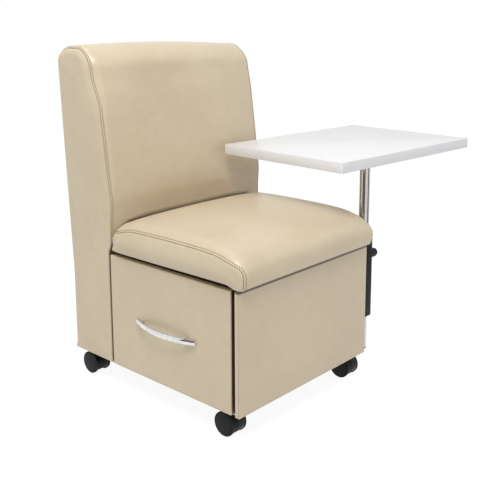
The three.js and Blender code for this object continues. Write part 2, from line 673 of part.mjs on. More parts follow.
function buildDrawer(handleHoles) {
  const y0 = FRONT_PANEL_THICKNESS + DRAWER_GAP;
  const y1 = BOX_DEPTH - DRAWER_REAR_GAP;
  const z0 = UNDERSIDE + DRAWER_LOW_GAP;
  const z1 = BOX_TOP - DRAWER_TOP_GAP;
  const front = softBoard(y1 - y0, z1 - z0, DRAWER_FRONT_THICKNESS, DRAWER_FRONT_EDGE);
  const turn = new THREE.Matrix4().makeBasis(
    new THREE.Vector3(0, -1, 0), new THREE.Vector3(0, 0, 1), new THREE.Vector3(-1, 0, 0));
  front.applyMatrix4(turn).translate(DRAWER_INSIDE, y1, z0);
  add(chair, 'drawer_front', cut(front, ...handleHoles), 'vinyl');

  const x0 = DRAWER_INSIDE;
  const x1 = DRAWER_INSIDE + DRAWER_LENGTH;
  const outerFront = FRONT_WALL_INNER + RUNNER_SPACE;
  const outerRear = REAR_WALL_INNER - RUNNER_SPACE;
  const innerFront = outerFront + DRAWER_SIDE_THICKNESS;
  const innerRear = outerRear - DRAWER_SIDE_THICKNESS;
  const low = UNDERSIDE + DRAWER_BASE;
  const high = low + DRAWER_SIDE_HEIGHT;
  add(chair, 'drawer_side_front', block(x0, x1, outerFront, innerFront, low, high), 'timber');
  add(chair, 'drawer_side_rear', block(x0, x1, innerRear, outerRear, low, high), 'timber');
  add(chair, 'drawer_back', block(x1 - DRAWER_SIDE_THICKNESS, x1, innerFront, innerRear,
    low, high), 'timber');
  add(chair, 'drawer_bottom', block(x0, x1 - DRAWER_SIDE_THICKNESS, innerFront, innerRear,
    low, low + DRAWER_BOTTOM_THICKNESS), 'timber');

  const rails = [
    ['front', FRONT_WALL_INNER, -1, outerFront],
    ['rear', REAR_WALL_INNER, 1, outerRear],
  ];
  const railStart = CARCASS_LEFT;
  rails.forEach(([name, wall, side, drawerSide]) => {
    const channel = prismAlongX(runnerProfile(wall, side), railStart, railStart + RUNNER_LENGTH);
    add(chair, `runner_${name}`, channel, 'zinc');
    const reach = drawerSide + side * (RUNNER_SPACE - RUNNER_WALL - RUNNING_FIT);
    const middle = UNDERSIDE + RUNNER_LEVEL + RUNNER_HEIGHT / 2;
    const half = RUNNER_HEIGHT / 2 - RUNNER_LIP - RUNNING_FIT;
    const web = block(railStart, railStart + RUNNER_LENGTH, Math.min(drawerSide, reach),
      Math.max(drawerSide, reach), middle - half, middle + half);
    const keyInner = drawerSide + side * (RUNNER_WALL + 3 * RUNNING_FIT);
    const key = block(railStart, railStart + RUNNER_LENGTH, Math.min(keyInner, reach),
      Math.max(keyInner, reach), middle - SLIDER_HEIGHT / 2, middle + SLIDER_HEIGHT / 2);
    add(chair, `slider_${name}`, join(web, key), 'zinc');
  });
}

// Side table, its post and its sleeve

function tubeAlongZ(outer, inner, z0, z1) {
  const shape = new THREE.Shape().absarc(0, 0, outer, 0, 2 * Math.PI);
  shape.holes.push(new THREE.Path().absarc(0, 0, inner, 0, 2 * Math.PI, true));
  return prismAlongZ(shape, z0, z1, ROUND_SIDES / 2);
}

function squareTube(size, wall, z0, z1) {
  const half = size / 2;
  const inner = half - wall;
  const shape = new THREE.Shape(roundedOutline(-half, half, -half, half, Array(4).fill(2 * wall)));
  const hole = new THREE.Path(roundedOutline(-inner, inner, -inner, inner, Array(4).fill(wall)).reverse());
  shape.holes.push(hole);
  return prismAlongZ(shape, z0, z1);
}

function buildSleeve() {
  const z0 = UNDERSIDE + SLEEVE_BOTTOM;
  const z1 = z0 + SLEEVE_LENGTH;
  const knobZ = UNDERSIDE + KNOB_LEVEL;
  const half = SLEEVE_SIZE / 2;
  const screwHole = rod('x', CLAMP_SCREW_RADIUS + FIT, 0, half + BOSS_LENGTH + CUT_OVERRUN, HOLE_SIDES)
    .translate(0, 0, knobZ);
  const boss = rod('x', BOSS_RADIUS, half - SLEEVE_WALL, half + BOSS_LENGTH, SMALL_SIDES)
    .translate(0, 0, knobZ);
  const tube = cut(join(squareTube(SLEEVE_SIZE, SLEEVE_WALL, z0, z1), boss), screwHole);
  add(chair, 'post_sleeve', tube.translate(POST_X, POST_Y, 0), 'blackSteel');

  const bore = POST_RADIUS + FIT;
  const outside = half - SLEEVE_WALL - FIT;
  const bush = (start) => {
    const radii = Array(4).fill(SLEEVE_WALL);
    const shape = new THREE.Shape(roundedOutline(-outside, outside, -outside, outside, radii));
    shape.holes.push(new THREE.Path().absarc(0, 0, bore, 0, 2 * Math.PI, true));
    return prismAlongZ(shape, start, start + BUSH_LENGTH, ROUND_SIDES / 2).translate(POST_X, POST_Y, 0);
  };
  add(chair, 'sleeve_bush_bottom', bush(z0), 'blackPlastic');
  add(chair, 'sleeve_bush_top', bush(z1 - BUSH_LENGTH), 'blackPlastic');

  const plateMiddle = UNDERSIDE + SLEEVE_BOTTOM + (BOX_HEIGHT - SLEEVE_BOTTOM) / 2;
  const plateStart = FRONT_PANEL_THICKNESS + FIT;
  const plateFace = BOX_RIGHT + SLEEVE_PLATE_THICKNESS;
  const plateHalf = SLEEVE_PLATE_HEIGHT / 2;
  const plate = block(BOX_RIGHT, plateFace, plateStart, plateStart + SLEEVE_PLATE_WIDTH,
    plateMiddle - plateHalf, plateMiddle + plateHalf);
  const standoffs = [-1, 1].map((side) => {
    const z = plateMiddle + side * (plateHalf - STANDOFF_HEIGHT / 2);
    return block(plateFace - SLEEVE_PLATE_THICKNESS / 2, plateFace + SLEEVE_STANDOFF, POST_Y - half + FIT,
      POST_Y + half - FIT, z - STANDOFF_HEIGHT / 2, z + STANDOFF_HEIGHT / 2);
  });
  add(chair, 'sleeve_bracket', join(plate, ...standoffs), 'blackSteel');
}

function buildClamp() {
  const knobZ = UNDERSIDE + KNOB_LEVEL;
  const start = POST_X + SLEEVE_SIZE / 2 + BOSS_LENGTH + RUNNING_FIT;
  const rings = [];
  KNOB_PROFILE_SHARES.forEach(([alongShare, radiusShare]) => {
    const ring = [];
    const sides = KNOB_LOBES * KNOB_LOBE_STEPS;
    for (let k = 0; k < sides; k += 1) {
      const angle = (2 * Math.PI * k) / sides;
      const groove = (KNOB_LOBE_DEPTH / 2) * (1 - Math.cos(KNOB_LOBES * angle));
      const radius = (KNOB_RADIUS - groove) * radiusShare;
      const along = alongShare * KNOB_LENGTH;
      ring.push(new THREE.Vector3(along, radius * Math.cos(angle), radius * Math.sin(angle)));
    }
    rings.push(ring);
  });
  const screwEnd = start + CLAMP_SCREW_IN_KNOB;
  const screwTip = POST_X + POST_RADIUS + FIT;
  const hole = rod('x', CLAMP_SCREW_RADIUS + FIT, start - CUT_OVERRUN, screwEnd + FIT, HOLE_SIDES)
    .translate(0, POST_Y, knobZ);
  add(chair, 'clamp_knob', cut(loft(rings).translate(start, POST_Y, knobZ), hole), 'blackPlastic');
  const screw = rod('x', CLAMP_SCREW_RADIUS, screwTip, screwEnd, HOLE_SIDES).translate(0, POST_Y, knobZ);
  add(chair, 'clamp_screw', screw, 'zinc');
}

function buildPost() {
  const z0 = UNDERSIDE + POST_END_LEVEL;
  const top = TABLE_UNDERSIDE - FLANGE_THICKNESS - 2 * FIT;
  add(chair, 'table_post', tubeAlongZ(POST_RADIUS, POST_RADIUS - POST_WALL, z0, top)
    .translate(POST_X, POST_Y, 0), 'chrome');
  const cap = rod('z', POST_RADIUS, z0 - PLUG_CAP, z0 - FIT, ROUND_SIDES);
  const stem = rod('z', POST_RADIUS - POST_WALL - FIT, z0 - PLUG_CAP, z0 + PLUG_DEPTH, ROUND_SIDES);
  add(chair, 'post_end_plug', join(cap, stem).translate(POST_X, POST_Y, 0), 'blackPlastic');
}

function buildTable() {
  const table = new THREE.Group();
  table.position.set(POST_X, POST_Y, TABLE_UNDERSIDE);
  table.rotation.z = TABLE_TURN;
  chair.add(table);
  const x0 = -POST_TO_TABLE_END;
  const x1 = x0 + TABLE_LENGTH;
  const y0 = -POST_TO_TABLE_EDGE;
  const y1 = y0 + TABLE_WIDTH;
  const inset = TABLE_BAND + FIT;
  const radii = (r) => Array(4).fill(r);
  const coreRadii = radii(TABLE_CORNER_RADIUS - TABLE_BAND);
  const core = roundedOutline(x0 + inset, x1 - inset, y0 + inset, y1 - inset, coreRadii);
  add(table, 'table_board', prismAlongZ(new THREE.Shape(core), 0, TABLE_THICKNESS), 'laminate');
  const outside = new THREE.Shape(roundedOutline(x0, x1, y0, y1, radii(TABLE_CORNER_RADIUS)));
  const bandInner = roundedOutline(x0 + TABLE_BAND, x1 - TABLE_BAND, y0 + TABLE_BAND, y1 - TABLE_BAND,
    coreRadii);
  outside.holes.push(new THREE.Path(bandInner.reverse()));
  add(table, 'table_edge_band', prismAlongZ(outside, 0, TABLE_THICKNESS), 'laminate');

  const plate = prismAlongZ(new THREE.Shape(roundedOutline(-FLANGE_LENGTH / 2, FLANGE_LENGTH / 2,
    -FLANGE_DEPTH / 2, FLANGE_DEPTH / 2, radii(PANEL_CORNER))), -FIT - FLANGE_THICKNESS, -FIT);
  const collar = tubeAlongZ(COLLAR_RADIUS, POST_RADIUS + FIT, -FIT - FLANGE_THICKNESS - COLLAR_HEIGHT,
    -FIT - FLANGE_THICKNESS / 2);
  add(table, 'table_flange', join(plate, collar), 'blackSteel');
}

// Casters

function buildWheel(name, parent, side) {
  const outer = CASTER_WIDTH / 2;
  const inner = CASTER_WEB / 2 + RUNNING_FIT;
  const rimInner = outer - WHEEL_RIM_WIDTH;
  const bore = AXLE_RADIUS + FIT;
  const profile = [
    [0, outer + WHEEL_DOME],
    [WHEEL_RADIUS / 2, outer + WHEEL_DOME * WHEEL_SHOULDER_SHARE],
    [WHEEL_RADIUS - WHEEL_CHAMFER, outer],
    [WHEEL_RADIUS, outer - WHEEL_CHAMFER],
    [WHEEL_RADIUS, rimInner],
    [WHEEL_HUB_RADIUS, rimInner],
    [WHEEL_HUB_RADIUS, inner],
    [bore, inner],
    [bore, outer - AXLE_END_WALL],
    [0, outer - AXLE_END_WALL],
  ].map(([r, x]) => new THREE.Vector2(r, x)).reverse();
  const geometry = new THREE.LatheGeometry(profile, ROUND_SIDES);
  geometry.rotateZ(side > 0 ? -Math.PI / 2 : Math.PI / 2);
  add(parent, name, geometry.translate(0, 0, WHEEL_RADIUS), 'blackPlastic');
}

function buildHood(name, parent) {
  const half = CASTER_WIDTH / 2 - WHEEL_RIM_WIDTH - RUNNING_FIT;
  const axle = WHEEL_RADIUS;
  const shell = rod('x', WHEEL_RADIUS, -half, half).translate(0, 0, axle);
  const plateLow = FLOOR_CLEARANCE - CASTER_PLATE_THICKNESS;
  const boss = rod('z', CASTER_BOSS_RADIUS, axle, plateLow - RUNNING_FIT, SMALL_SIDES)
    .translate(0, -CASTER_TRAIL, 0);
  const pocketRadius = WHEEL_RADIUS - HOOD_WALL;
  const pockets = [-1, 1].map((side) => {
    const near = (side * CASTER_WEB) / 2;
    const far = side * (half + CUT_OVERRUN);
    return rod('x', pocketRadius, Math.min(near, far), Math.max(near, far)).translate(0, 0, axle);
  });
  const reach = 2 * WHEEL_RADIUS;
  const below = block(-reach, reach, -reach, reach, -CUT_OVERRUN, HOOD_CUT_LEVEL);
  const behind = block(-reach, reach, WHEEL_RADIUS / 2, reach, -CUT_OVERRUN, WHEEL_RADIUS + HOOD_CUT_LEVEL);
  const axleHole = rod('x', AXLE_RADIUS + FIT, -half, half, HOLE_SIDES).translate(0, 0, axle);
  const pinHole = rod('z', KINGPIN_RADIUS + FIT, plateLow - KINGPIN_LENGTH - FIT, FLOOR_CLEARANCE, HOLE_SIDES)
    .translate(0, -CASTER_TRAIL, 0);
  add(parent, name, cut(join(shell, boss), ...pockets, below, behind, axleHole, pinHole), 'blackPlastic');
}

function buildCaster(place, x, y) {
  const caster = new THREE.Group();
  caster.position.set(x, y, 0);
  chair.add(caster);
  const half = CASTER_PLATE_SIZE / 2;
  const plateLow = FLOOR_CLEARANCE - CASTER_PLATE_THICKNESS;
  const plate = prismAlongZ(new THREE.Shape(roundedOutline(-half, half, -half, half,
    Array(4).fill(CASTER_PLATE_CORNER))), plateLow, FLOOR_CLEARANCE);
  const pinTop = plateLow + CASTER_PLATE_THICKNESS / 2;
  const pin = rod('z', KINGPIN_RADIUS, plateLow - KINGPIN_LENGTH, pinTop, HOLE_SIDES);
  add(caster, `caster_plate_${place}`, join(plate, pin), 'zinc');

  const fork = new THREE.Group();
  fork.position.set(0, CASTER_TRAIL, 0);
  caster.add(fork);
  buildHood(`caster_hood_${place}`, fork);
  const end = CASTER_WIDTH / 2 - AXLE_END_WALL - FIT;
  const axle = rod('x', AXLE_RADIUS, -end, end, HOLE_SIDES).translate(0, 0, WHEEL_RADIUS);
  add(fork, `caster_axle_${place}`, axle, 'zinc');
  buildWheel(`wheel_left_${place}`, fork, -1);
  buildWheel(`wheel_right_${place}`, fork, 1);
}

function buildCasters() {
  const rear = BACK_REAR - CASTER_REAR_INSET;
  buildCaster('front_left', BOX_LEFT + CASTER_SIDE_INSET, CASTER_FRONT_INSET);
  buildCaster('front_right', BOX_RIGHT - CASTER_RIGHT_SIDE_INSET, CASTER_RIGHT_FRONT_INSET);
  buildCaster('rear_left', BACK_LEFT + CASTER_SIDE_INSET, rear);
  buildCaster('rear_right', BACK_RIGHT - CASTER_SIDE_INSET, rear);
}

buildCarcass();
buildBack();
buildSeat();
buildDrawer(buildHandle());
buildSleeve();
buildClamp();
buildPost();
buildTable();
buildCasters();

// The part stands on the floor with its origin under the middle of its outline.
chair.updateMatrixWorld(true);
const extent = new THREE.Box3().setFromObject(chair, true);
chair.position.set(-(extent.min.x + extent.max.x) / 2, -(extent.min.y + extent.max.y) / 2, -extent.min.z);

export default chair;
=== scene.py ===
"""The looks of a manicure chair: vinyl upholstery, a drawer, a side table on a post, and casters.

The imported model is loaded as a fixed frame. Each sub-assembly is a class that models its pieces in metres
around that frame and dresses them, and the studio class sets the floor, the light and the camera.
"""
from __future__ import annotations

import json
import logging
import math
from collections.abc import Callable, Iterator, Sequence
from contextlib import contextmanager
from dataclasses import dataclass, field
from enum import Enum

import bmesh
import bpy
import numpy as np
from mathutils import Matrix, Vector

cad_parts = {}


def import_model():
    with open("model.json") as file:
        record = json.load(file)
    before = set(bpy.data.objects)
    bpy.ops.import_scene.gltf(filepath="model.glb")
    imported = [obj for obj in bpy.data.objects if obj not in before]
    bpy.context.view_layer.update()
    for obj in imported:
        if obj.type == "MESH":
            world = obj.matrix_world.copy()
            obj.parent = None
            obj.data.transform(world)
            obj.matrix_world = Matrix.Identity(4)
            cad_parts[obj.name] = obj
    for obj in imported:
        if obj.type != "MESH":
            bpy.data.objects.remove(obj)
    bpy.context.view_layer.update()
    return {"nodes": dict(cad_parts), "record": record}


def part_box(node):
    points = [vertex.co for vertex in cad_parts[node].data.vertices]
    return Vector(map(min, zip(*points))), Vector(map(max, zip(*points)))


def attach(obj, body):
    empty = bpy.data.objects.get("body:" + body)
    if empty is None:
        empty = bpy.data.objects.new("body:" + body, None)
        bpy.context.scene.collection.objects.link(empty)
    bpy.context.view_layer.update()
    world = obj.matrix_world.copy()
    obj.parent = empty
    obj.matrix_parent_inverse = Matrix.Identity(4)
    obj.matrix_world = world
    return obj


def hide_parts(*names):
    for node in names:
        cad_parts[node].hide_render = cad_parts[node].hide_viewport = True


LOG = logging.getLogger("manicure_chair")
MM = 0.001
MERGE = 0.05 * MM
FACING = 0.9
# The mesh attribute that carries painted shade, from 0 to 1, for the vinyl to darken.
PAINTED_SHADE = "crease"
Colour = tuple[float, float, float]
Range = tuple[float, float]


class Slot(Enum):
    """The record's material slots."""

    VINYL = "vinyl"
    TIMBER = "timber"
    LAMINATE = "laminate"
    EDGE_BAND = "edge_band"
    CHROME = "chrome"
    BLACK_STEEL = "black_steel"
    ZINC = "zinc"
    BLACK_PLASTIC = "black_plastic"
    WHEEL_PLASTIC = "wheel_plastic"


class Body(Enum):
    """The bodies that pieces ride on, apart from the casters' own."""

    BASE = "base"
    DRAWER = "drawer"
    POST = "post"
    TABLE = "table"
    KNOB = "knob"


class Axis(Enum):
    """An axis of the object's frame: +Z is up, and the chair faces -Y."""

    X = 0
    Y = 1
    Z = 2


# Finishes


class Board:
    """A material's node tree while it is put together."""

    COLOUR_INPUTS = (6, 7)
    COLOUR_OUTPUT = 2

    def __init__(self, name: str) -> None:
        """Starts a material with a Principled shader.

        Args:
            name: The material's name.
        """
        self.material = bpy.data.materials.new(name)
        self.material.use_nodes = True
        self.tree = self.material.node_tree
        self.shader = self.tree.nodes["Principled BSDF"]
        self.place = self.node("ShaderNodeTexCoord").outputs["Object"]

    def node(self, kind: str, **settings: object) -> bpy.types.Node:
        """Adds a node.

        Args:
            kind: The node's type name.
            settings: Values by attribute name, or by socket name where the node has no such attribute.

        Returns:
            The node.
        """
        made = self.tree.nodes.new(kind)
        for name, value in settings.items():
            if hasattr(made, name):
                setattr(made, name, value)
            else:
                made.inputs[name.replace("_", " ")].default_value = value
        return made

    def link(self, source: bpy.types.NodeSocket, target: bpy.types.NodeSocket) -> None:
        """Joins an output to an input."""
        self.tree.links.new(source, target)

    def noise(self, scale: float, detail: float,
              stretch: Sequence[float] = (1, 1, 1)) -> bpy.types.NodeSocket:
        """Adds a noise texture on object coordinates.

        Args:
            scale: The pattern's frequency, per metre.
            detail: How many finer layers it has.
            stretch: The scale along each axis.

        Returns:
            The noise's value.
        """
        spot = self.node("ShaderNodeMapping")
        spot.inputs["Scale"].default_value = stretch
        self.link(self.place, spot.inputs["Vector"])
        texture = self.node("ShaderNodeTexNoise", Scale=scale, Detail=detail)
        self.link(spot.outputs["Vector"], texture.inputs["Vector"])
        return texture.outputs["Fac"]

    def spread(self, value: bpy.types.NodeSocket, low: float, high: float,
               start: float = 0.3, end: float = 0.7) -> bpy.types.NodeSocket:
        """Maps a value from one range onto another.

        Args:
            value: The value.
            low: What start becomes.
            high: What end becomes.
            start: The range's start.
            end: The range's end.

        Returns:
            The mapped value.
        """
        made = self.node("ShaderNodeMapRange")
        for name, number in (("From Min", start), ("From Max", end), ("To Min", low), ("To Max", high)):
            made.inputs[name].default_value = number
        self.link(value, made.inputs["Value"])
        return made.outputs["Result"]

    def blend(self, share: bpy.types.NodeSocket, first: object, second: object) -> bpy.types.NodeSocket:
        """Mixes two colours.

        Args:
            share: How much of the second colour shows.
            first: A colour or a socket.
            second: A colour or a socket.

        Returns:
            The mixed colour.
        """
        made = self.node("ShaderNodeMix", data_type="RGBA")
        self.link(share, made.inputs["Factor"])
        for index, colour in zip(self.COLOUR_INPUTS, (first, second)):
            socket = made.inputs[index]
            if isinstance(colour, bpy.types.NodeSocket):
                self.link(colour, socket)
            else:
                socket.default_value = (*colour, 1)
        return made.outputs[self.COLOUR_OUTPUT]

    def bump(self, height: bpy.types.NodeSocket, distance: float, strength: float,
             below: bpy.types.NodeSocket | None = None) -> bpy.types.NodeSocket:
        """Adds a bump node.

        Args:
            height: The height's value.
            distance: The relief at full height, in metres.
            strength: The share of it that shows.
            below: A normal to start from.

        Returns:
            The bumped normal.
        """
        made = self.node("ShaderNodeBump", Strength=strength, Distance=distance)
        self.link(height, made.inputs["Height"])
        if below is not None:
            self.link(below, made.inputs["Normal"])
        return made.outputs["Normal"]

    def dress(self, colour: bpy.types.NodeSocket, roughness: bpy.types.NodeSocket,
              normal: bpy.types.NodeSocket, metallic: float = 0.0, gloss: float = 0.5) -> bpy.types.Material:
        """Feeds the shader.

        Args:
            colour: The base colour.
            roughness: The roughness.
            normal: The bumped normal.
            metallic: 1 for bare metal and 0 for anything else.
            gloss: The specular level.

        Returns:
            The material.
        """
        self.link(colour, self.shader.inputs["Base Color"])
        self.link(roughness, self.shader.inputs["Roughness"])
        self.link(normal, self.shader.inputs["Normal"])
        self.shader.inputs["Metallic"].default_value = metallic
        self.shader.inputs["Specular IOR Level"].default_value = gloss
        return self.material


@dataclass(frozen=True)
class Vinyl:
    """Beige upholstery vinyl: a fine pebble grain, faint mottling, and painted shade in its seams, gaps and
    overhangs.
    """

    light: Colour = (0.672, 0.568, 0.406)
    dark: Colour = (0.616, 0.516, 0.360)
    # The colour of painted shade in seams, gaps and overhangs.
    crease: Colour = (0.07, 0.048, 0.026)
    mottle: float = 38.0
    mottle_share: float = 0.55
    cloud: float = 5.5
    cloud_tone: Range = (0.05, 0.4)
    pebble: float = 850.0
    pore: float = 2600.0
    grain_depth: float = 0.05 * MM
    wave: float = 22.0
    wave_depth: float = 0.6 * MM
    relief: tuple[float, float, float] = (0.35, 0.2, 0.12)
    roughness: Range = (0.32, 0.41)
    gloss: float = 0.55

    def build(self) -> bpy.types.Material:
        """Makes the material.

        Returns:
            The material.
        """
        board = Board("vinyl")
        mottle = board.noise(self.mottle, 5.0)
        tone = board.node("ShaderNodeMath", operation="MULTIPLY_ADD")
        board.link(mottle, tone.inputs[0])
        tone.inputs[1].default_value = self.mottle_share
        board.link(board.spread(board.noise(self.cloud, 2.0), *self.cloud_tone), tone.inputs[2])
        colour = board.blend(board.spread(tone.outputs["Value"], 0, 1), self.dark, self.light)
        # Painted shade: the colour goes towards the dark crease colour where the attribute is set.
        mark = board.node("ShaderNodeAttribute", attribute_name=PAINTED_SHADE).outputs["Fac"]
        colour = board.blend(mark, colour, self.crease)
        cells = board.node("ShaderNodeTexVoronoi", Scale=self.pebble, feature="SMOOTH_F1")
        board.link(board.place, cells.inputs["Vector"])
        pebble, pore, wave = self.relief
        normal = board.bump(cells.outputs["Distance"], self.grain_depth, pebble)
        normal = board.bump(board.noise(self.pore, 2.0), self.grain_depth, pore, normal)
        normal = board.bump(board.noise(self.wave, 2.0), self.wave_depth, wave, normal)
        return board.dress(colour, board.spread(mottle, *self.roughness), normal, gloss=self.gloss)


@dataclass(frozen=True)
class Thread:
    """Tan sewing thread with a fine twist, darkened to also paint the shade of its needle holes."""

    # Tan thread colour, darkened as painted shade of the needle holes.
    light: Colour = (0.17, 0.115, 0.06)
    dark: Colour = (0.10, 0.065, 0.034)
    twist: float = 2400.0
    depth: float = 0.1 * MM
    roughness: Range = (0.6, 0.75)

    def build(self) -> bpy.types.Material:
        """Makes the material.

        Returns:
            The material.
        """
        board = Board("thread")
        twist = board.noise(self.twist, 1.0, (1, 1, 3))
        colour = board.blend(board.spread(twist, 0, 1), self.dark, self.light)
        return board.dress(colour, board.spread(twist, *self.roughness), board.bump(twist, self.depth, 0.5))


@dataclass(frozen=True)
class Timber:
    """Plain plywood and pine, with long grain along one axis."""

    light: Colour = (0.56, 0.385, 0.21)
    dark: Colour = (0.38, 0.235, 0.11)
    name: str = "timber"
    grain: float = 26.0
    pore: float = 420.0
    pore_tone: tuple[float, float, float, float] = (0.25, 0.0, 0.35, 0.6)
    pore_depth: float = 0.15 * MM
    roughness: Range = (0.62, 0.78)

    def build(self) -> bpy.types.Material:
        """Makes the material.

        Returns:
            The material.
        """
        board = Board(self.name)
        grain = board.noise(self.grain, 8.0, (0.12, 0.12, 1.6))
        pores = board.noise(self.pore, 3.0, (0.06, 0.06, 1))
        colour = board.blend(board.spread(grain, 0, 1), self.dark, self.light)
        colour = board.blend(board.spread(pores, *self.pore_tone), colour, self.dark)
        normal = board.bump(pores, self.pore_depth, 0.4)
        return board.dress(colour, board.spread(grain, *self.roughness), normal)


@dataclass(frozen=True)
class Coat:
    """An opaque surface with a faint orange-peel or moulded texture."""

    name: str
    light: Colour
    dark: Colour
    roughness: Range
    grain: float
    depth: float
    gloss: float = 0.5
    cloud: float = 30.0

    def build(self) -> bpy.types.Material:
        """Makes the material.

        Returns:
            The material.
        """
        board = Board(self.name)
        cloud = board.noise(self.cloud, 4.0)
        colour = board.blend(board.spread(cloud, 0, 1), self.dark, self.light)
        normal = board.bump(board.noise(self.grain, 2.0), self.depth, 0.5)
        return board.dress(colour, board.spread(cloud, *self.roughness), normal, gloss=self.gloss)


@dataclass(frozen=True)
class Metal:
    """Plated or brushed metal, with faint streaks along one axis."""

    name: str
    colour: Colour
    shade: Colour
    roughness: Range
    stretch: tuple[float, float, float]
    depth: float
    streak: float = 160.0

    def build(self) -> bpy.types.Material:
        """Makes the material.

        Returns:
            The material.
        """
        board = Board(self.name)
        streak = board.noise(self.streak, 3.0, self.stretch)
        colour = board.blend(board.spread(streak, 0, 1), self.shade, self.colour)
        normal = board.bump(streak, self.depth, 0.3)
        return board.dress(colour, board.spread(streak, *self.roughness), normal, metallic=1.0)


BLACK = ((0.010, 0.010, 0.011), (0.006, 0.006, 0.007))
FINISHES = {
    Slot.VINYL: Vinyl(),
    Slot.TIMBER: Timber(),
    Slot.LAMINATE: Coat("laminate", (0.835, 0.835, 0.84), (0.805, 0.805, 0.81), (0.32, 0.4), 900, 0.02 * MM),
    Slot.EDGE_BAND: Coat("edge_band", (0.84, 0.84, 0.86), (0.80, 0.80, 0.82), (0.34, 0.42), 700, 0.02 * MM),
    Slot.CHROME: Metal("chrome", (0.78, 0.78, 0.79), (0.66, 0.66, 0.67), (0.06, 0.1), (1, 1, 0.05),
                       0.005 * MM),
    Slot.BLACK_STEEL: Coat("black_steel", *BLACK, (0.42, 0.5), 1100, 0.03 * MM, gloss=0.12),
    Slot.ZINC: Metal("zinc", (0.62, 0.63, 0.65), (0.5, 0.51, 0.53), (0.28, 0.4), (0.1, 1, 1), 0.01 * MM),
    Slot.BLACK_PLASTIC: Coat("black_plastic", *BLACK, (0.36, 0.46), 1500, 0.03 * MM, gloss=0.16),
    Slot.WHEEL_PLASTIC: Coat("wheel_plastic", *BLACK, (0.36, 0.46), 1400, 0.03 * MM, gloss=0.16),
}
# Darker, warmer chrome for the post: a painted reflection of the dark room and the beige chair.
TUBE_REFLECTION_CHROME = Metal("tube_reflection_chrome", (0.60, 0.58, 0.555), (0.54, 0.52, 0.495), (0.06, 0.1), (1, 1, 0.05),
                    0.005 * MM)
# Near-black timber for the carcass boards behind the gaps: painted shade, so that the gaps read dark.
SHADE_TIMBER = Timber((0.030, 0.024, 0.018), (0.016, 0.013, 0.010), "shade_timber")
SHADE_TIMBER_NODES = ("carcass_front_wall", "carcass_top_rail", "carcass_bottom", "carcass_rear_wall")


class Wardrobe:
    """Every finish, made once."""

    def __init__(self) -> None:
        """Builds the materials."""
        self.by_slot = {slot: finish.build() for slot, finish in FINISHES.items()}
        self.thread = Thread().build()
        self.tube = TUBE_REFLECTION_CHROME.build()
        self.shade_timber = SHADE_TIMBER.build()

    def put_on(self, piece: bpy.types.Object, slot: Slot, material: bpy.types.Material | None = None) -> None:
        """Gives a piece its only material.

        Args:
            piece: The piece.
            slot: The record's slot that it takes its finish from.
            material: Another material than the slot's own.
        """
        piece.data.materials.clear()
        piece.data.materials.append(material or self.by_slot[slot])


# Modelling


def middle_of(node: str) -> Vector:
    """The middle of a node's box."""
    low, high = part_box(node)
    return (low + high) / 2


def deselect() -> None:
    """Leaves edit mode and deselects every object."""
    if bpy.context.object and bpy.context.object.mode != "OBJECT":
        bpy.ops.object.mode_set(mode="OBJECT")
    bpy.ops.object.select_all(action="DESELECT")


def take(piece: bpy.types.Object) -> None:
    """Makes a piece the only selected one.

    Args:
        piece: The piece.
    """
    deselect()
    piece.select_set(True)
    bpy.context.view_layer.objects.active = piece


@contextmanager
def editing(piece: bpy.types.Object, part: str = "FACE") -> Iterator[bmesh.types.BMesh]:
    """Edit mode on one piece.

    Args:
        piece: The piece.
        part: What is selected: VERT, EDGE or FACE.

    Yields:
        The piece's edit mesh.
    """
    take(piece)
    bpy.ops.object.mode_set(mode="EDIT")
    bpy.ops.mesh.select_mode(type=part)
    bpy.ops.mesh.select_all(action="DESELECT")
    yield bmesh.from_edit_mesh(piece.data)
    bpy.ops.object.mode_set(mode="OBJECT")


def pick(piece: bpy.types.Object, kind: str, test: Callable[[object], bool]) -> None:
    """Selects the verts, edges or faces that pass a test, and no others, while the piece is being edited.

    Args:
        piece: The piece.
        kind: verts, edges or faces.
        test: Says whether an element is selected.
    """
    shell = bmesh.from_edit_mesh(piece.data)
    bpy.ops.mesh.select_all(action="DESELECT")
    for element in getattr(shell, kind):
        if test(element):
            element.select_set(True)
    shell.select_flush_mode()
    bmesh.update_edit_mesh(piece.data)


def settle_place(piece: bpy.types.Object) -> bpy.types.Object:
    """Moves a piece's place, turn and scale into its mesh.

    Args:
        piece: The piece.

    Returns:
        The piece.
    """
    take(piece)
    bpy.ops.object.transform_apply(location=True, rotation=True, scale=True)
    return piece


def cube(name: str, low: Sequence[float], high: Sequence[float]) -> bpy.types.Object:
    """Adds a cube primitive between two corners.

    Args:
        name: The piece's name.
        low: Its lowest corner.
        high: Its highest corner.

    Returns:
        The piece.
    """
    deselect()
    low, high = Vector(low), Vector(high)
    bpy.ops.mesh.primitive_cube_add(size=1, location=(low + high) / 2)
    piece = bpy.context.object
    piece.name = name
    piece.scale = high - low
    return settle_place(piece)


def cylinder(name: str, axis: Axis, radius: float, start: float, end: float, middle: Sequence[float],
             sides: int = 64, ends: str = "NGON") -> bpy.types.Object:
    """Adds a cylinder primitive along an axis.

    Args:
        name: The piece's name.
        axis: The axis that it runs along.
        radius: Its radius.
        start: Where it starts on that axis.
        end: Where it ends.
        middle: A point on its axis; the coordinate along the axis isn't used.
        sides: How many sides it has.
        ends: The primitive's end_fill_type.

    Returns:
        The piece.
    """
    deselect()
    place = Vector(middle)
    place[axis.value] = (start + end) / 2
    turn = {Axis.X: (0, math.pi / 2, 0), Axis.Y: (-math.pi / 2, 0, 0), Axis.Z: (0, 0, 0)}[axis]
    bpy.ops.mesh.primitive_cylinder_add(vertices=sides, radius=radius, depth=end - start, location=place,
                                        rotation=turn, end_fill_type=ends)
    piece = bpy.context.object
    piece.name = name
    return settle_place(piece)


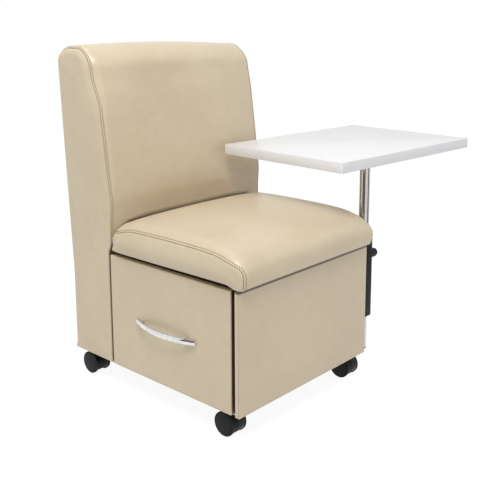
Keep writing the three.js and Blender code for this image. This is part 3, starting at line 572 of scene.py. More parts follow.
def apply_modifier(piece: bpy.types.Object, kind: str, **settings: object) -> None:
    """Adds a modifier and applies it.

    Args:
        piece: The piece.
        kind: The modifier's type.
        settings: Its settings by name.
    """
    take(piece)
    modifier = piece.modifiers.new(kind.lower(), kind)
    for name, value in settings.items():
        setattr(modifier, name, value)
    bpy.ops.object.modifier_apply(modifier=modifier.name)


def round_edges(piece: bpy.types.Object, width: float, segments: int = 3, angle: float = 40.0) -> None:
    """Rounds every edge that is sharper than an angle.

    Args:
        piece: The piece.
        width: The rounding's width.
        segments: Its steps.
        angle: The least angle of an edge that is rounded, in degrees.
    """
    apply_modifier(piece, "BEVEL", width=width, segments=segments, limit_method="ANGLE",
                   angle_limit=math.radians(angle), harden_normals=False)


def slice_across(start: Vector, axis: Axis, place: float) -> None:
    """Cuts the piece that is being edited across an axis.

    Args:
        start: A point for the other two coordinates.
        axis: The axis.
        place: Where on it the cut lies.
    """
    point = list(start)
    point[axis.value] = place
    normal = [0.0, 0.0, 0.0]
    normal[axis.value] = 1.0
    bpy.ops.mesh.select_all(action="SELECT")
    bpy.ops.mesh.bisect(plane_co=point, plane_no=normal)


def round_corners(piece: bpy.types.Object, radius: float, axis: Axis = Axis.Z) -> None:
    """Rounds a block's four edges along an axis.

    Args:
        piece: The block.
        radius: The corners' radius.
        axis: The axis that the edges run along.
    """
    with editing(piece, "EDGE"):
        pick(piece, "edges", lambda e: abs(e.verts[0].co[axis.value] - e.verts[1].co[axis.value]) > MM)
        bpy.ops.mesh.bevel(offset=radius, segments=6, affect="EDGES")


def hollow_out(piece: bpy.types.Object, wall: float) -> None:
    """Opens a block's top and bottom and gives its sides a wall.

    Args:
        piece: The block.
        wall: The wall's thickness, inwards.
    """
    with editing(piece):
        pick(piece, "faces", lambda f: abs(f.normal.z) > FACING)
        bpy.ops.mesh.delete(type="FACE")
    apply_modifier(piece, "SOLIDIFY", thickness=wall, offset=-1)


def pipe(name: str, radius: float, start: float, end: float, middle: Sequence[float], wall: float,
         sides: int = 64) -> bpy.types.Object:
    """Adds an upright tube.

    Args:
        name: The piece's name.
        radius: The radius that its wall starts from.
        start: Its lower end.
        end: Its upper end.
        middle: A point on its axis.
        wall: The wall's thickness: outwards where it is positive, and inwards where it is negative.
        sides: How many sides it has.

    Returns:
        The piece.
    """
    made = cylinder(name, Axis.Z, radius, start, end, middle, sides, "NOTHING")
    apply_modifier(made, "SOLIDIFY", thickness=abs(wall), offset=math.copysign(1, wall))
    return made


def join(name: str, pieces: Sequence[bpy.types.Object]) -> bpy.types.Object:
    """Joins several pieces into one.

    Args:
        name: The joined piece's name.
        pieces: The pieces; the first one stays.

    Returns:
        The joined piece.
    """
    deselect()
    for piece in pieces:
        piece.select_set(True)
    bpy.context.view_layer.objects.active = pieces[0]
    bpy.ops.object.join()
    joined = bpy.context.object
    joined.name = name
    return joined


def copy_moved(source: bpy.types.Object, name: str, move: Matrix) -> bpy.types.Object:
    """Copies a piece with its own mesh, moved by a matrix.

    Args:
        source: The piece to copy.
        name: The copy's name.
        move: Where it goes.

    Returns:
        The copy.
    """
    made = bpy.data.objects.new(name, source.data.copy())
    bpy.context.scene.collection.objects.link(made)
    made.data.transform(move)
    if move.determinant() < 0:
        made.data.flip_normals()
    return made


def points_of(piece: bpy.types.Object) -> np.ndarray:
    """Reads a piece's vertices.

    Args:
        piece: The piece.

    Returns:
        Their places, one a row.
    """
    flat = np.empty(len(piece.data.vertices) * 3)
    piece.data.vertices.foreach_get("co", flat)
    return flat.reshape(-1, 3)


def set_points(piece: bpy.types.Object, points: np.ndarray) -> None:
    """Moves the piece's vertices to the rows of an array."""
    piece.data.vertices.foreach_set("co", points.ravel())
    piece.data.update()


def set_painted_shade(piece: bpy.types.Object, depth: np.ndarray) -> None:
    """Stores each vertex's painted shade, from 0 to 1, for the vinyl to darken in seams, gaps and overhangs.
    """
    mark = piece.data.attributes.new(PAINTED_SHADE, "FLOAT", "POINT")
    mark.data.foreach_set("value", np.clip(depth, 0, 1).astype(np.float32).ravel())


def smooth(piece: bpy.types.Object, angle: float = 35.0) -> None:
    """Shades a piece smooth except across edges sharper than an angle in degrees."""
    take(piece)
    bpy.ops.object.shade_smooth_by_angle(angle=math.radians(angle))


@dataclass
class Dresser:
    """Finishes pieces: shading, material, the body that they ride on and what they replace."""

    wardrobe: Wardrobe

    def finish(self, piece: bpy.types.Object, body: str, slot: Slot, nodes: Sequence[str] = (),
               angle: float = 35.0, material: bpy.types.Material | None = None) -> None:
        """Dresses one piece.

        Args:
            piece: The piece.
            body: The body that it rides on.
            slot: The record's slot of its finish.
            nodes: The nodes that it stands for.
            angle: The angle past which its edges stay sharp, in degrees.
            material: Another material than the slot's own.
        """
        smooth(piece, angle)
        self.wardrobe.put_on(piece, slot, material)
        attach(piece, body)
        if nodes:
            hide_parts(*nodes)
        LOG.info("%s: %d faces on %s", piece.name, len(piece.data.polygons), body)


# Padded upholstery


def ease(value: np.ndarray | float, start: float, end: float) -> np.ndarray | float:
    """A smooth step from 0 to 1 between two places."""
    share = np.clip((value - start) / (end - start), 0, 1)
    return share * share * (3 - 2 * share)


def round_off(past: np.ndarray | float, radius: float) -> np.ndarray | float:
    """How far a round edge has drawn in at a place past its start."""
    along = np.clip(past, 0, radius)
    return radius - np.sqrt(radius * radius - along * along)


def spaced(path: np.ndarray, count: int) -> np.ndarray:
    """Points at even steps along a path.

    Args:
        path: The path's points, one a row.
        count: How many steps there are.

    Returns:
        count + 1 points.
    """
    length = np.concatenate([[0], np.cumsum(np.linalg.norm(np.diff(path, axis=0), axis=1))])
    at = np.linspace(0, length[-1], count + 1)
    return np.stack([np.interp(at, length, path[:, k]) for k in range(path.shape[1])], axis=1)


@dataclass
class SidedPad:
    """A padded block whose two sides are sewn to one long band that runs round them.

    The block's side outline lies in the YZ plane, as four stretches that start at the low front corner and
    run up the front, back over the top, down the rear and forward along the bottom. The band is a grid of
    stations across X by points along the outline, and each side is a grid that fills the outline.
    """

    low_x: float
    high_x: float
    front_y: float
    underside: float
    wide: int
    tall: int
    row_pitch: float = 6.5 * MM
    seam_half: float = 0.8 * MM
    seam_depth: float = 1.0 * MM
    row_gap: float = 4.6 * MM
    row_depth: float = 0.5 * MM
    strip_rise: float = 0.6 * MM
    # How dark the painted shade in the seam's crease is.
    seam_tone: float = 0.18
    side_puff: float = 2.0 * MM
    puff_reach: float = 28 * MM
    stitch_pitch: float = 5.6 * MM
    stitched: tuple[int, int] = (7, 16)
    sides: list[np.ndarray] = field(default_factory=list)

    def stretches(self) -> list[np.ndarray]:
        """The outline's four stretches: front, top, rear and bottom, with opposite ones of equal count."""
        raise NotImplementedError

    def close(self, front: np.ndarray, top: np.ndarray, rear: np.ndarray) -> list[np.ndarray]:
        """Closes an outline along its bottom, spaces its points evenly and puts it in place.

        Args:
            front: The points up the front, from the box's front and the pad's underside.
            top: The points back over the top.
            rear: The points down the rear.

        Returns:
            The four stretches.
        """
        bottom = np.array([rear[-1], front[0]])
        parts = [(front, self.tall), (top, self.wide), (rear, self.tall), (bottom, self.wide)]
        return [spaced(part, count) + np.array([self.front_y, self.underside]) for part, count in parts]

    def outline(self) -> np.ndarray:
        """The closed outline, each corner once."""
        return np.concatenate([side[:-1] for side in self.sides])

    def edge_radius(self, sign: int, outline: np.ndarray, normal: np.ndarray) -> np.ndarray:
        """The radius of the edge between a side, -1 or 1, and the band at each point of the outline."""
        raise NotImplementedError

    def seam_inboard(self, sign: int, outline: np.ndarray, normal: np.ndarray) -> np.ndarray:
        """How far inboard of a side's plane, -1 or 1, the seam lies at each point of the outline."""
        raise NotImplementedError

    def seam_line(self, outline: np.ndarray, normal: np.ndarray) -> np.ndarray:
        """How dark the painted shade in the seam's crease is, from 0 to 1 at each point of the outline."""
        return np.full(len(outline), self.seam_tone)

    def painted_shade_share(self, points: np.ndarray, normal: np.ndarray) -> np.ndarray:
        """Where painted shade darkens the band, from 0 to 1 at each point of the band."""
        return np.zeros(points.shape[:2])

    def crown(self, across: np.ndarray, outline: np.ndarray, normal: np.ndarray) -> np.ndarray:
        """How far the band swells outwards at each station and point.

        Args:
            across: The place across X, from -1 to 1, as stations by points.
            outline: The outline's points.
            normal: The outline's normals.

        Returns:
            The swell as stations by points.
        """
        raise NotImplementedError

    def seam_mask(self, outline: np.ndarray) -> np.ndarray:
        """Where the seam is sewn, from 0 to 1 at each point of the outline."""
        return np.ones(len(outline))

    def settle(self, points: np.ndarray) -> np.ndarray:
        """Swells and draws in the finished form, at points of any shape whose last axis is x, y and z."""
        return points

    @staticmethod
    def normals(outline: np.ndarray) -> np.ndarray:
        """The outward normal at each point of the closed outline, which runs clockwise seen from +X.

        Args:
            outline: The outline's points.

        Returns:
            Unit normals, one a row.
        """
        step = np.roll(outline, -1, axis=0) - np.roll(outline, 1, axis=0)
        normal = np.stack([-step[:, 1], step[:, 0]], axis=1)
        return normal / np.linalg.norm(normal, axis=1, keepdims=True)

    def reaches(self, seam: np.ndarray) -> tuple[np.ndarray, np.ndarray, np.ndarray]:
        """Surface distances from the side's rim for each station on one half, with their seam grooves.

        Args:
            seam: The seam's surface distance from the rim at each point of the outline.

        Returns:
            Distances, groove depths and crease marks, each as stations by points.
        """
        w, gap = self.seam_half, self.row_gap
        before = np.array([0.0, 0.25, 0.5, 0.75])
        around = np.array([-2.6, -1.3, -0.6, 0, 0.6, 1.2, 1.8]) * w
        strip = np.array([0.42, 0.5, 0.58]) * gap
        second = gap + np.array([-1.8, -1.0, 0, 1.1, 2.2]) * w
        steps = np.array([1.0, 2.0]) * self.row_pitch
        offsets = np.concatenate([around, strip, second, gap + 2.2 * w + steps])
        first = np.outer(before, seam + around[0])
        distance = np.concatenate([first, seam[None, :] + offsets[:, None]])
        delta = distance - seam[None, :]
        groove = self.seam_depth * np.exp(-((delta / w) ** 2))
        groove += self.row_depth * np.exp(-(((delta - gap) / w) ** 2))
        groove -= self.strip_rise * ease(delta, 0, 0.4 * gap) * (1 - ease(delta, 0.6 * gap, gap))
        # Painted shade in the seam's groove, and fainter along the topstitch row.
        mark = np.exp(-((delta / (0.6 * w)) ** 2)) + 0.25 * np.exp(-(((delta - gap) / (0.7 * w)) ** 2))
        return distance, groove, mark

    def half_band(self, sign: int, outline: np.ndarray, normal: np.ndarray) -> tuple[np.ndarray, ...]:
        """The band's stations from one side's rim to where the band is flat.

        Args:
            sign: -1 for the low side and 1 for the high side.
            outline: The outline's points.
            normal: The outline's normals.

        Returns:
            Distances in from the side's plane, rises, crease marks, and the direction's shares along X and
            along the normal, each as stations by points.
        """
        radius = self.edge_radius(sign, outline, normal)
        inboard = self.seam_inboard(sign, outline, normal)
        on_arc = np.arccos(np.clip(1 - inboard / radius, 0, 1))
        seam = radius * on_arc + np.maximum(0, inboard - radius)
        distance, groove, mark = self.reaches(seam)
        sewn = self.seam_mask(outline)
        groove, mark = groove * sewn, mark * (sewn * self.seam_line(outline, normal))
        turn = np.minimum(distance / radius, math.pi / 2)
        offset = radius * (1 - np.cos(turn)) + np.maximum(0, distance - radius * math.pi / 2)
        inset = radius * (1 - np.sin(turn))
        sideways, outward = np.cos(turn), np.sin(turn)
        return offset + groove * sideways, -inset - groove * outward, mark, sideways, outward

    def band(self) -> tuple[np.ndarray, np.ndarray, np.ndarray]:
        """The band's points, its painted shade marks and the two rows' stitch lines.

        Returns:
            Points as stations by outline points by 3, marks as stations by points, and stitch lines as
            4 lines by points by 6: a place and the outward direction.
        """
        outline = self.outline()
        normal = self.normals(outline)
        low, high = (self.half_band(sign, outline, normal) for sign in (-1, 1))
        start, end = self.low_x + low[0][-1], self.high_x - high[0][-1]
        count = int(round((end - start).min() / self.row_pitch))
        share = (np.arange(1, count) / count)[:, None]
        flat_x = start[None, :] + share * (end - start)[None, :]
        x = np.concatenate([self.low_x + low[0], flat_x, (self.high_x - high[0])[::-1]])
        out = np.concatenate([low[1], np.zeros_like(flat_x), high[1][::-1]])
        marks = np.concatenate([low[2], np.zeros_like(flat_x), high[2][::-1]])
        across = (x - (self.low_x + self.high_x) / 2) / ((self.high_x - self.low_x) / 2)
        out = out + self.crown(across, outline, normal)
        plane = outline[None, :, :] + out[:, :, None] * normal[None, :, :]
        points = self.settle(np.concatenate([x[:, :, None], plane], axis=2))
        marks = np.maximum(marks, self.painted_shade_share(points, normal))
        return points, marks, self.rows(points, low, high, normal)

    def rows(self, points: np.ndarray, low: tuple[np.ndarray, ...], high: tuple[np.ndarray, ...],
             normal: np.ndarray) -> np.ndarray:
        """The four stitch lines: the seam and the topstitch, each on the low side and on the high side.

        Args:
            points: The band's points.
            low: The low side's half band.
            high: The high side's half band.
            normal: The outline's normals.

        Returns:
            Places and outward directions, as lines by points by 6.
        """
        lines = []
        for station in self.stitched:
            for sign, half in ((-1, low), (1, high)):
                at = station if sign < 0 else len(points) - 1 - station
                x = sign * half[3][station]
                yz = half[4][station][:, None] * normal
                lines.append(np.concatenate([points[at], x[:, None], yz], axis=1))
        return np.array(lines)

    def side_grid(self, sign: int, rim: np.ndarray) -> np.ndarray:
        """A side's points: a patch stretched between the four stretches of its rim.

        Args:
            sign: -1 on the low side and 1 on the high side.
            rim: The rim's points in the outline's order, before they are settled.

        Returns:
            The points, as steps up by steps across by 3.
        """
        tall, wide = len(self.sides[0]) - 1, len(self.sides[1]) - 1
        front = rim[: tall + 1]
        top = rim[tall: tall + wide + 1]
        rear = rim[tall + wide: 2 * tall + wide + 1][::-1]
        bottom = np.concatenate([rim[2 * tall + wide:], rim[:1]])[::-1]
        u = np.linspace(0, 1, tall + 1)[:, None, None]
        v = np.linspace(0, 1, wide + 1)[None, :, None]
        patch = (1 - v) * front[:, None] + v * rear[:, None] + (1 - u) * bottom[None] + u * top[None]
        patch -= (1 - u) * ((1 - v) * front[0] + v * rear[0]) + u * ((1 - v) * front[-1] + v * rear[-1])
        away = self.distance_to(patch[:, :, 1:].reshape(-1, 2), rim[:, 1:]).reshape(tall + 1, wide + 1)
        patch[:, :, 0] += sign * self.side_puff * ease(away, 0, self.puff_reach)
        return patch

    @staticmethod
    def distance_to(place: np.ndarray, rim: np.ndarray) -> np.ndarray:
        """The distance from each place to the rim.

        Args:
            place: The places, one a row.
            rim: The rim's points, one a row.

        Returns:
            The distance to the nearest point of the rim.
        """
        nearest = np.full(len(place), np.inf)
        for point in rim:
            nearest = np.minimum(nearest, np.hypot(*(place - point).T))
        return nearest

    @staticmethod
    def grid(name: str, points: np.ndarray, marks: np.ndarray, closed: bool) -> bpy.types.Object:
        """Adds a grid primitive and moves its vertices onto a sheet of points.

        Args:
            name: The piece's name.
            points: The sheet, as rows by columns by 3.
            marks: The painted shade mark at each point.
            closed: Whether the last column meets the first one again.

        Returns:
            The piece.
        """
        if closed:
            points = np.concatenate([points, points[:, :1]], axis=1)
            marks = np.concatenate([marks, marks[:, :1]], axis=1)
        rows, columns = points.shape[:2]
        deselect()
        bpy.ops.mesh.primitive_grid_add(x_subdivisions=columns - 1, y_subdivisions=rows - 1, size=1)
        piece = bpy.context.object
        piece.name = name
        set_points(piece, points.reshape(-1, 3))
        set_painted_shade(piece, marks)
        return piece

    def rim(self, sign: int) -> np.ndarray:
        """A side's rim before it is settled.

        Args:
            sign: -1 for the low side and 1 for the high side.

        Returns:
            The rim's points in the outline's order.
        """
        outline = self.outline()
        normal = self.normals(outline)
        crowned = self.crown(np.full((1, len(outline)), 1.0), outline, normal)[0]
        drawn = crowned - self.edge_radius(sign, outline, normal)
        plane = outline + drawn[:, None] * normal
        return np.column_stack([np.full(len(plane), self.low_x if sign < 0 else self.high_x), plane])

    def model(self, name: str) -> tuple[bpy.types.Object, np.ndarray]:
        """Models the whole pad.

        Args:
            name: The piece's name.

        Returns:
            The piece and its stitch lines.
        """
        self.sides = self.stretches()
        points, marks, rows = self.band()
        sheets = [self.grid(name, points, marks, closed=True)]
        for sign in (-1, 1):
            patch = self.settle(self.side_grid(sign, self.rim(sign)))
            sheets.append(self.grid(f"{name}_side", patch, np.zeros(patch.shape[:2]), closed=False))
        piece = join(name, sheets)
        with editing(piece):
            bpy.ops.mesh.select_all(action="SELECT")
            bpy.ops.mesh.remove_doubles(threshold=MERGE)
            bpy.ops.mesh.normals_make_consistent(inside=False)
        return piece, rows


@dataclass
class BackPad(SidedPad):
    """The upholstered back: upright behind the seat, leaning above it, and round over its top."""

    wide: int = 22
    tall: int = 112
    depth: float = 150 * MM
    height: float = 755 * MM
    lean_start: float = 400 * MM
    lean: float = math.radians(7.5)
    rear_lean_start: float = 200 * MM
    rear_lean: float = math.radians(3.4)
    top_front_radius: float = 54 * MM
    top_rear_radius: float = 43 * MM
    bottom_radius: float = 4 * MM
    corner_split: float = 0.62
    soft_edge: float = 24 * MM
    shoulder_edge: float = 36 * MM
    far_edge: float = 16 * MM
    rear_edge: float = 12 * MM
    low_edge: float = 7 * MM
    seam_place: float = 8.8 * MM
    shoulder_seam_place: float = 7.5 * MM
    far_seam_share: float = 0.6
    top_tone: float = 0.9
    shoulder: float = 695 * MM
    shoulder_reach: float = 80 * MM
    pad_rise: float = 5 * MM
    bow: float = 7 * MM
    top_bow: float = 6 * MM
    rear_bow: float = 2.1 * MM
    tilt: float = 2.6 * MM
    tilt_from: float = 0.8
    far_dip: float = 2.8 * MM
    dip_across: Range = (0.1, 0.8)
    near_recess: float = 6 * MM
    near_across: Range = (0.45, 1.0)
    near_levels: Range = (0.78, 0.92)
    upper_recess: float = 4.2 * MM
    upper_levels: Range = (0.82, 0.94)
    forward_from: float = 0.45
    crown_start: float = 350 * MM
    crown_end: float = 440 * MM
    seat_line: float = 349 * MM
    seat_fall: float = 72 * MM
    seat_round: float = 24 * MM

    def level(self, outline: np.ndarray) -> np.ndarray:
        """The height of each point of the outline above the underside."""
        return outline[:, 1] - self.underside

    def fullness(self, height: np.ndarray) -> np.ndarray:
        """How far the padding has thickened at a height, from 0 behind the seat to 1 above it."""
        return ease(height, self.crown_start, self.crown_end)

    def front_at(self, height: np.ndarray) -> np.ndarray:
        """The front face's place, from where it starts at the underside.

        Args:
            height: Heights above the underside.

        Returns:
            The place along Y at each height.
        """
        lean = np.maximum(0, height - self.lean_start) * math.tan(self.lean)
        flat = self.height - self.top_front_radius
        rise = self.fullness(height) * (1 - ease(height, flat, self.height))
        return lean + round_off(height - flat, self.top_front_radius) - rise * self.pad_rise

    def rear_at(self, height: np.ndarray) -> np.ndarray:
        """The rear face's place, from where the front one starts at the underside.

        Args:
            height: Heights above the underside.

        Returns:
            The place along Y at each height.
        """
        lean = np.maximum(0, height - self.rear_lean_start) * math.tan(self.rear_lean)
        past = height - (self.height - self.top_rear_radius)
        return self.depth + lean - round_off(past, self.top_rear_radius)

    def face(self, place: Callable[[np.ndarray], np.ndarray], radius: float) -> tuple[np.ndarray, float]:
        """One face's profile from its foot to the top.

        Args:
            place: The face's place along Y at a height.
            radius: The radius of its rounding over the top.

        Returns:
            The profile's points, upwards, and the height at which the top's stretch takes over.
        """
        start = self.height - radius
        turn = np.linspace(0, math.pi / 2, 40)
        straight = np.linspace(self.bottom_radius, start, 120)[:-1]
        height = np.concatenate([straight, start + radius * np.sin(turn)])
        return np.stack([place(height), height], axis=1), start + self.corner_split * radius

    def stretches(self) -> list[np.ndarray]:
        """The outline from the low front corner, up, over the top, down and forward.

        Returns:
            The four stretches.
        """
        r = self.bottom_radius
        foot = np.linspace(0, math.pi / 2, 5)
        up, split_front = self.face(self.front_at, self.top_front_radius)
        down, split_rear = self.face(self.rear_at, self.top_rear_radius)
        down = down[::-1]
        low_front = np.stack([r * (1 - np.sin(foot)), r * (1 - np.cos(foot))], axis=1)
        low_rear = np.stack([self.depth - r * (1 - np.cos(foot)), r * (1 - np.sin(foot))], axis=1)
        front = np.concatenate([low_front[:-1], up[up[:, 1] <= split_front]])
        top = np.concatenate([front[-1:], up[up[:, 1] > split_front], down[down[:, 1] > split_rear]])
        rear = np.concatenate([top[-1:], down[down[:, 1] <= split_rear], low_rear[1:]])
        return self.close(front, top, rear)

    def shoulder_share(self, outline: np.ndarray, normal: np.ndarray) -> np.ndarray:
        """How far each point belongs to the front's shoulder, where the top starts to round."""
        near = np.clip(1 - np.abs(self.level(outline) - self.shoulder) / self.shoulder_reach, 0, 1)
        return ease(near, 0, 1) * ease(-normal[:, 0], 0.1, 0.6)

    def edge_radius(self, sign: int, outline: np.ndarray, normal: np.ndarray) -> np.ndarray:
        """Wide at the near front above the seat and over the top, and tighter elsewhere.

        Args:
            sign: -1 for the low side and 1 for the high side.
            outline: The outline's points.
            normal: The outline's normals.

        Returns:
            The radius at each point.
        """
        height = self.level(outline)
        if sign > 0:
            front = np.full(len(outline), self.far_edge)
        else:
            front = self.low_edge + self.fullness(height) * (self.soft_edge - self.low_edge)
            front = front + self.shoulder_share(outline, normal) * (self.shoulder_edge - self.soft_edge)
        rear = ease(normal[:, 0], 0.4, 1.0)
        radius = front * (1 - rear) + self.rear_edge * rear
        low = ease(height, 0, 4 * self.bottom_radius)
        return self.bottom_radius * (1 - low) + radius * low

    def seam_inboard(self, sign: int, outline: np.ndarray, normal: np.ndarray) -> np.ndarray:
        """The seam lies on the band's side of the edge, and drops back round the shoulder."""
        share = self.shoulder_share(outline, normal) if sign < 0 else self.far_seam_share
        return self.seam_place * (1 - share) + self.shoulder_seam_place * share

    def seam_line(self, outline: np.ndarray, normal: np.ndarray) -> np.ndarray:
        """The painted shade in the seam is dark over the top and hardly shows down the front."""
        return self.seam_tone + (self.top_tone - self.seam_tone) * ease(normal[:, 1], 0.25, 0.7)

    def seam_mask(self, outline: np.ndarray) -> np.ndarray:
        """No seam shows underneath."""
        return ease(self.level(outline), 1.5 * self.bottom_radius, 5 * self.bottom_radius)

    def crown(self, across: np.ndarray, outline: np.ndarray, normal: np.ndarray) -> np.ndarray:
        """The front swells most in its middle, and the top and the rear a little.

        Args:
            across: The place across X, from -1 to 1, as stations by points.
            outline: The outline's points.
            normal: The outline's normals.

        Returns:
            The swell as stations by points.
        """
        height = self.level(outline)
        flat = self.height - self.top_front_radius
        bow = np.maximum(0, 1 - across * across)
        front = ease(-normal[:, 0], 0.1, 0.9)
        rear = ease(normal[:, 0], 0.3, 1.0) * ease(height, 0, 0.2 * self.height)
        fade = self.fullness(height) * (1 - 0.6 * ease(height, flat, self.height))
        over = ease(normal[:, 1], 0.0, 0.9)
        return bow * (self.bow * fade * front + self.top_bow * over + self.rear_bow * rear)[None, :]

    def settle(self, points: np.ndarray) -> np.ndarray:
        """Tilts the top, and draws the near shoulder and the upper front in, as on the photographed back.

        Args:
            points: The finished form, at any shape whose last axis is x, y and z.

        Returns:
            The points moved.
        """
        made = points.copy()
        across = 2 * (points[..., 0] - self.low_x) / (self.high_x - self.low_x) - 1
        rise = (points[..., 2] - self.underside) / self.height
        forward = 1 - ease((points[..., 1] - self.front_y) / self.depth, self.forward_from, 1)
        dip = self.tilt * across + self.far_dip * ease(across, *self.dip_across)
        made[..., 2] -= dip * ease(rise, self.tilt_from, 1)
        recess = self.near_recess * ease(rise, *self.near_levels) * ease(-across, *self.near_across)
        made[..., 1] += forward * (recess + self.upper_recess * ease(rise, *self.upper_levels))
        return made

    def painted_shade_share(self, points: np.ndarray, normal: np.ndarray) -> np.ndarray:
        """Painted shade darkens the front where the seat and the drawer hide and shade it.

        Args:
            points: The band's points.
            normal: The outline's normals.

        Returns:
            The painted shade's share, from 0 to 1, as stations by points.
        """
        # Painted shade: dark below a line just above the seat, behind the seat and the drawer.
        x, height = points[..., 0], points[..., 2] - self.underside
        inboard = np.minimum(x - self.low_x, self.high_x - x)
        line = self.seat_line - self.seat_fall * np.exp(-inboard / self.seat_round)
        inside = ease(inboard, 0, 0.25 * self.low_edge)
        return inside * (1 - ease(height, line - 3 * MM, line + 5 * MM)) * ease(-normal[:, 0], 0.6, 0.9)


def flow(controls: np.ndarray, steps: int = 10) -> np.ndarray:
    """A smooth path through control points.

    Args:
        controls: The points, one a row.
        steps: How many steps lie between two of them.

    Returns:
        The path's points.
    """
    padded = np.concatenate([controls[:1], controls, controls[-1:]])
    t = np.linspace(0, 1, steps, endpoint=False)[:, None]
    path = []
    for a, b, c, d in zip(padded, padded[1:], padded[2:], padded[3:]):
        path.append(0.5 * (2 * b + (c - a) * t + (2 * a - 5 * b + 4 * c - d) * t**2
                           + (3 * b - a - 3 * c + d) * t**3))
    return np.concatenate([*path, controls[-1:]])


@dataclass
class SeatPad(SidedPad):
    """The seat cushion: crowned on top, rounded down at its front, with full round sides.

    The profile is the outline in the YZ plane in millimetres: depth behind the box's front, and height above
    the cushion's underside. Its first and last points are the ends of the flat bottom.
    """

    wide: int = 70
    tall: int = 14
    profile: tuple[Range, ...] = (
        (2, 0), (-8, 3), (-15, 11), (-18.5, 23), (-18.5, 36), (-14, 49), (-4.5, 61), (11, 71.5), (32, 79),
        (60, 83.8), (100, 86), (160, 87), (230, 87), (295, 86.3), (335, 84.6), (364, 80.5), (385, 73),
        (399.5, 62), (408, 48), (411.5, 33), (411.5, 18), (406, 6), (396, 0))
    flow_steps: int = 10
    front_corner: int = 5
    rear_corner: int = 17
    top_edge: float = 24 * MM
    wall_edge: float = 15 * MM
    rear_edge: float = 27 * MM
    bottom_edge: float = 8 * MM
    top_seam_place: float = 0.8 * MM
    wall_seam_place: float = 4.4 * MM
    rear_seam_place: float = 17 * MM
    bow: float = 9 * MM
    side_bulge: float = 12.5 * MM
    bulge_middle: float = 36 * MM
    bulge_reach: float = 42 * MM
    front_bulge: float = 0.45
    rear_draw: float = 0.8
    rear_draw_from: float = 0.88
    curl: float = 8 * MM
    curl_far: float = 3 * MM
    curl_reach: float = 34 * MM
    curl_fade: float = 0.35
    corner_droop: float = 9 * MM
    corner_reach: float = 40 * MM
    droop_from: float = 0.78
    seat_length: float = 412 * MM

    def stretches(self) -> list[np.ndarray]:
        """The outline from the low front corner, up, back over the top, down and forward.

        Returns:
            The four stretches.
        """
        path = flow(np.array(self.profile) * MM, self.flow_steps)
        top_start, top_end = self.front_corner * self.flow_steps, self.rear_corner * self.flow_steps
        return self.close(path[: top_start + 1], path[top_start: top_end + 1], path[top_end:])

    def edge_radius(self, sign: int, outline: np.ndarray, normal: np.ndarray) -> np.ndarray:
        """Wide along the top, tighter round the upright corners and underneath.

        Args:
            sign: -1 for the low side and 1 for the high side, which are alike; not used.
            outline: The outline's points; not used.
            normal: The outline's normals.

        Returns:
            The radius at each point.
        """
        side = self.wall_edge + (self.rear_edge - self.wall_edge) * ease(normal[:, 0], 0.2, 0.9)
        wall = self.bottom_edge + (side - self.bottom_edge) * ease(normal[:, 1], -0.9, -0.1)
        return wall + (self.top_edge - wall) * ease(normal[:, 1], 0.1, 0.9)

    def seam_inboard(self, sign: int, outline: np.ndarray, normal: np.ndarray) -> np.ndarray:
        """Low on the wide top edge and half way round the upright corners.

        Args:
            sign: -1 for the low side and 1 for the high side, which are alike; not used.
            outline: The outline's points; not used.
            normal: The outline's normals.

        Returns:
            The seam's place at each point.
        """
        top = ease(normal[:, 1], 0.5, 1.0)
        rear = ease(normal[:, 0], 0.25, 0.95)
        wall = self.wall_seam_place + (self.rear_seam_place - self.wall_seam_place) * rear
        return self.top_seam_place * top + wall * (1 - top)

    def seam_mask(self, outline: np.ndarray) -> np.ndarray:
        """No seam shows underneath."""
        return ease(outline[:, 1] - self.underside, 1 * MM, 7 * MM)

    def crown(self, across: np.ndarray, outline: np.ndarray, normal: np.ndarray) -> np.ndarray:
        """The top swells in its middle.

        Args:
            across: The place across X, from -1 to 1, as stations by points.
            outline: The outline's points.
            normal: The outline's normals.

        Returns:
            The swell as stations by points.
        """
        share = (outline[:, 0] - self.front_y) / self.seat_length
        along = np.clip(4 * share * (1 - share), 0, 1)
        return np.maximum(0, 1 - across**2) * (self.bow * along * ease(normal[:, 1], 0.2, 0.95))[None, :]

    def settle(self, points: np.ndarray) -> np.ndarray:
        """Swells the sides, curls their lower edges up and lowers the rear corners.

        Args:
            points: The finished form, at any shape whose last axis is x, y and z.

        Returns:
            The points moved.
        """
        made = points.copy()
        middle = (self.low_x + self.high_x) / 2
        side = np.sign(points[..., 0] - middle)
        inboard = (self.high_x - self.low_x) / 2 - np.abs(points[..., 0] - middle)
        height = points[..., 2] - self.underside
        depth = points[..., 1] - self.front_y
        full = np.clip(1 - ((height - self.bulge_middle) / self.bulge_reach) ** 2, 0, 1)
        length = self.seat_length
        ends = self.front_bulge + (1 - self.front_bulge) * ease(depth, -18 * MM, 40 * MM)
        ends = ends * (1 - self.rear_draw * ease(depth, self.rear_draw_from * length, length))
        near = 1 - ease(inboard, 0, self.top_edge)
        made[..., 0] += side * self.side_bulge * full * ends * near
        curl = np.where(side < 0, self.curl, self.curl_far) * (1 - self.curl_fade * depth / length)
        low = (1 - ease(height, 0, 0.5 * self.curl_reach)) * (1 - ease(inboard, 0, self.curl_reach))
        made[..., 2] += curl * low * ease(depth, 8 * MM, 34 * MM)
        droop = self.corner_droop * np.exp(-inboard / self.corner_reach) * ease(height, 20 * MM, 75 * MM)
        made[..., 2] -= droop * ease(depth, self.droop_from * length, length)
        return made

    def painted_shade_share(self, points: np.ndarray, normal: np.ndarray) -> np.ndarray:
        """Painted shade: the underside goes dark inside a turned-in edge, and a dark band runs under the
        front's lip.

        Args:
            points: The band's points.
            normal: The outline's normals.

        Returns:
            The painted shade's share, from 0 to 1, as stations by points.
        """
        inboard = np.minimum(points[..., 0] - self.low_x, self.high_x - points[..., 0])
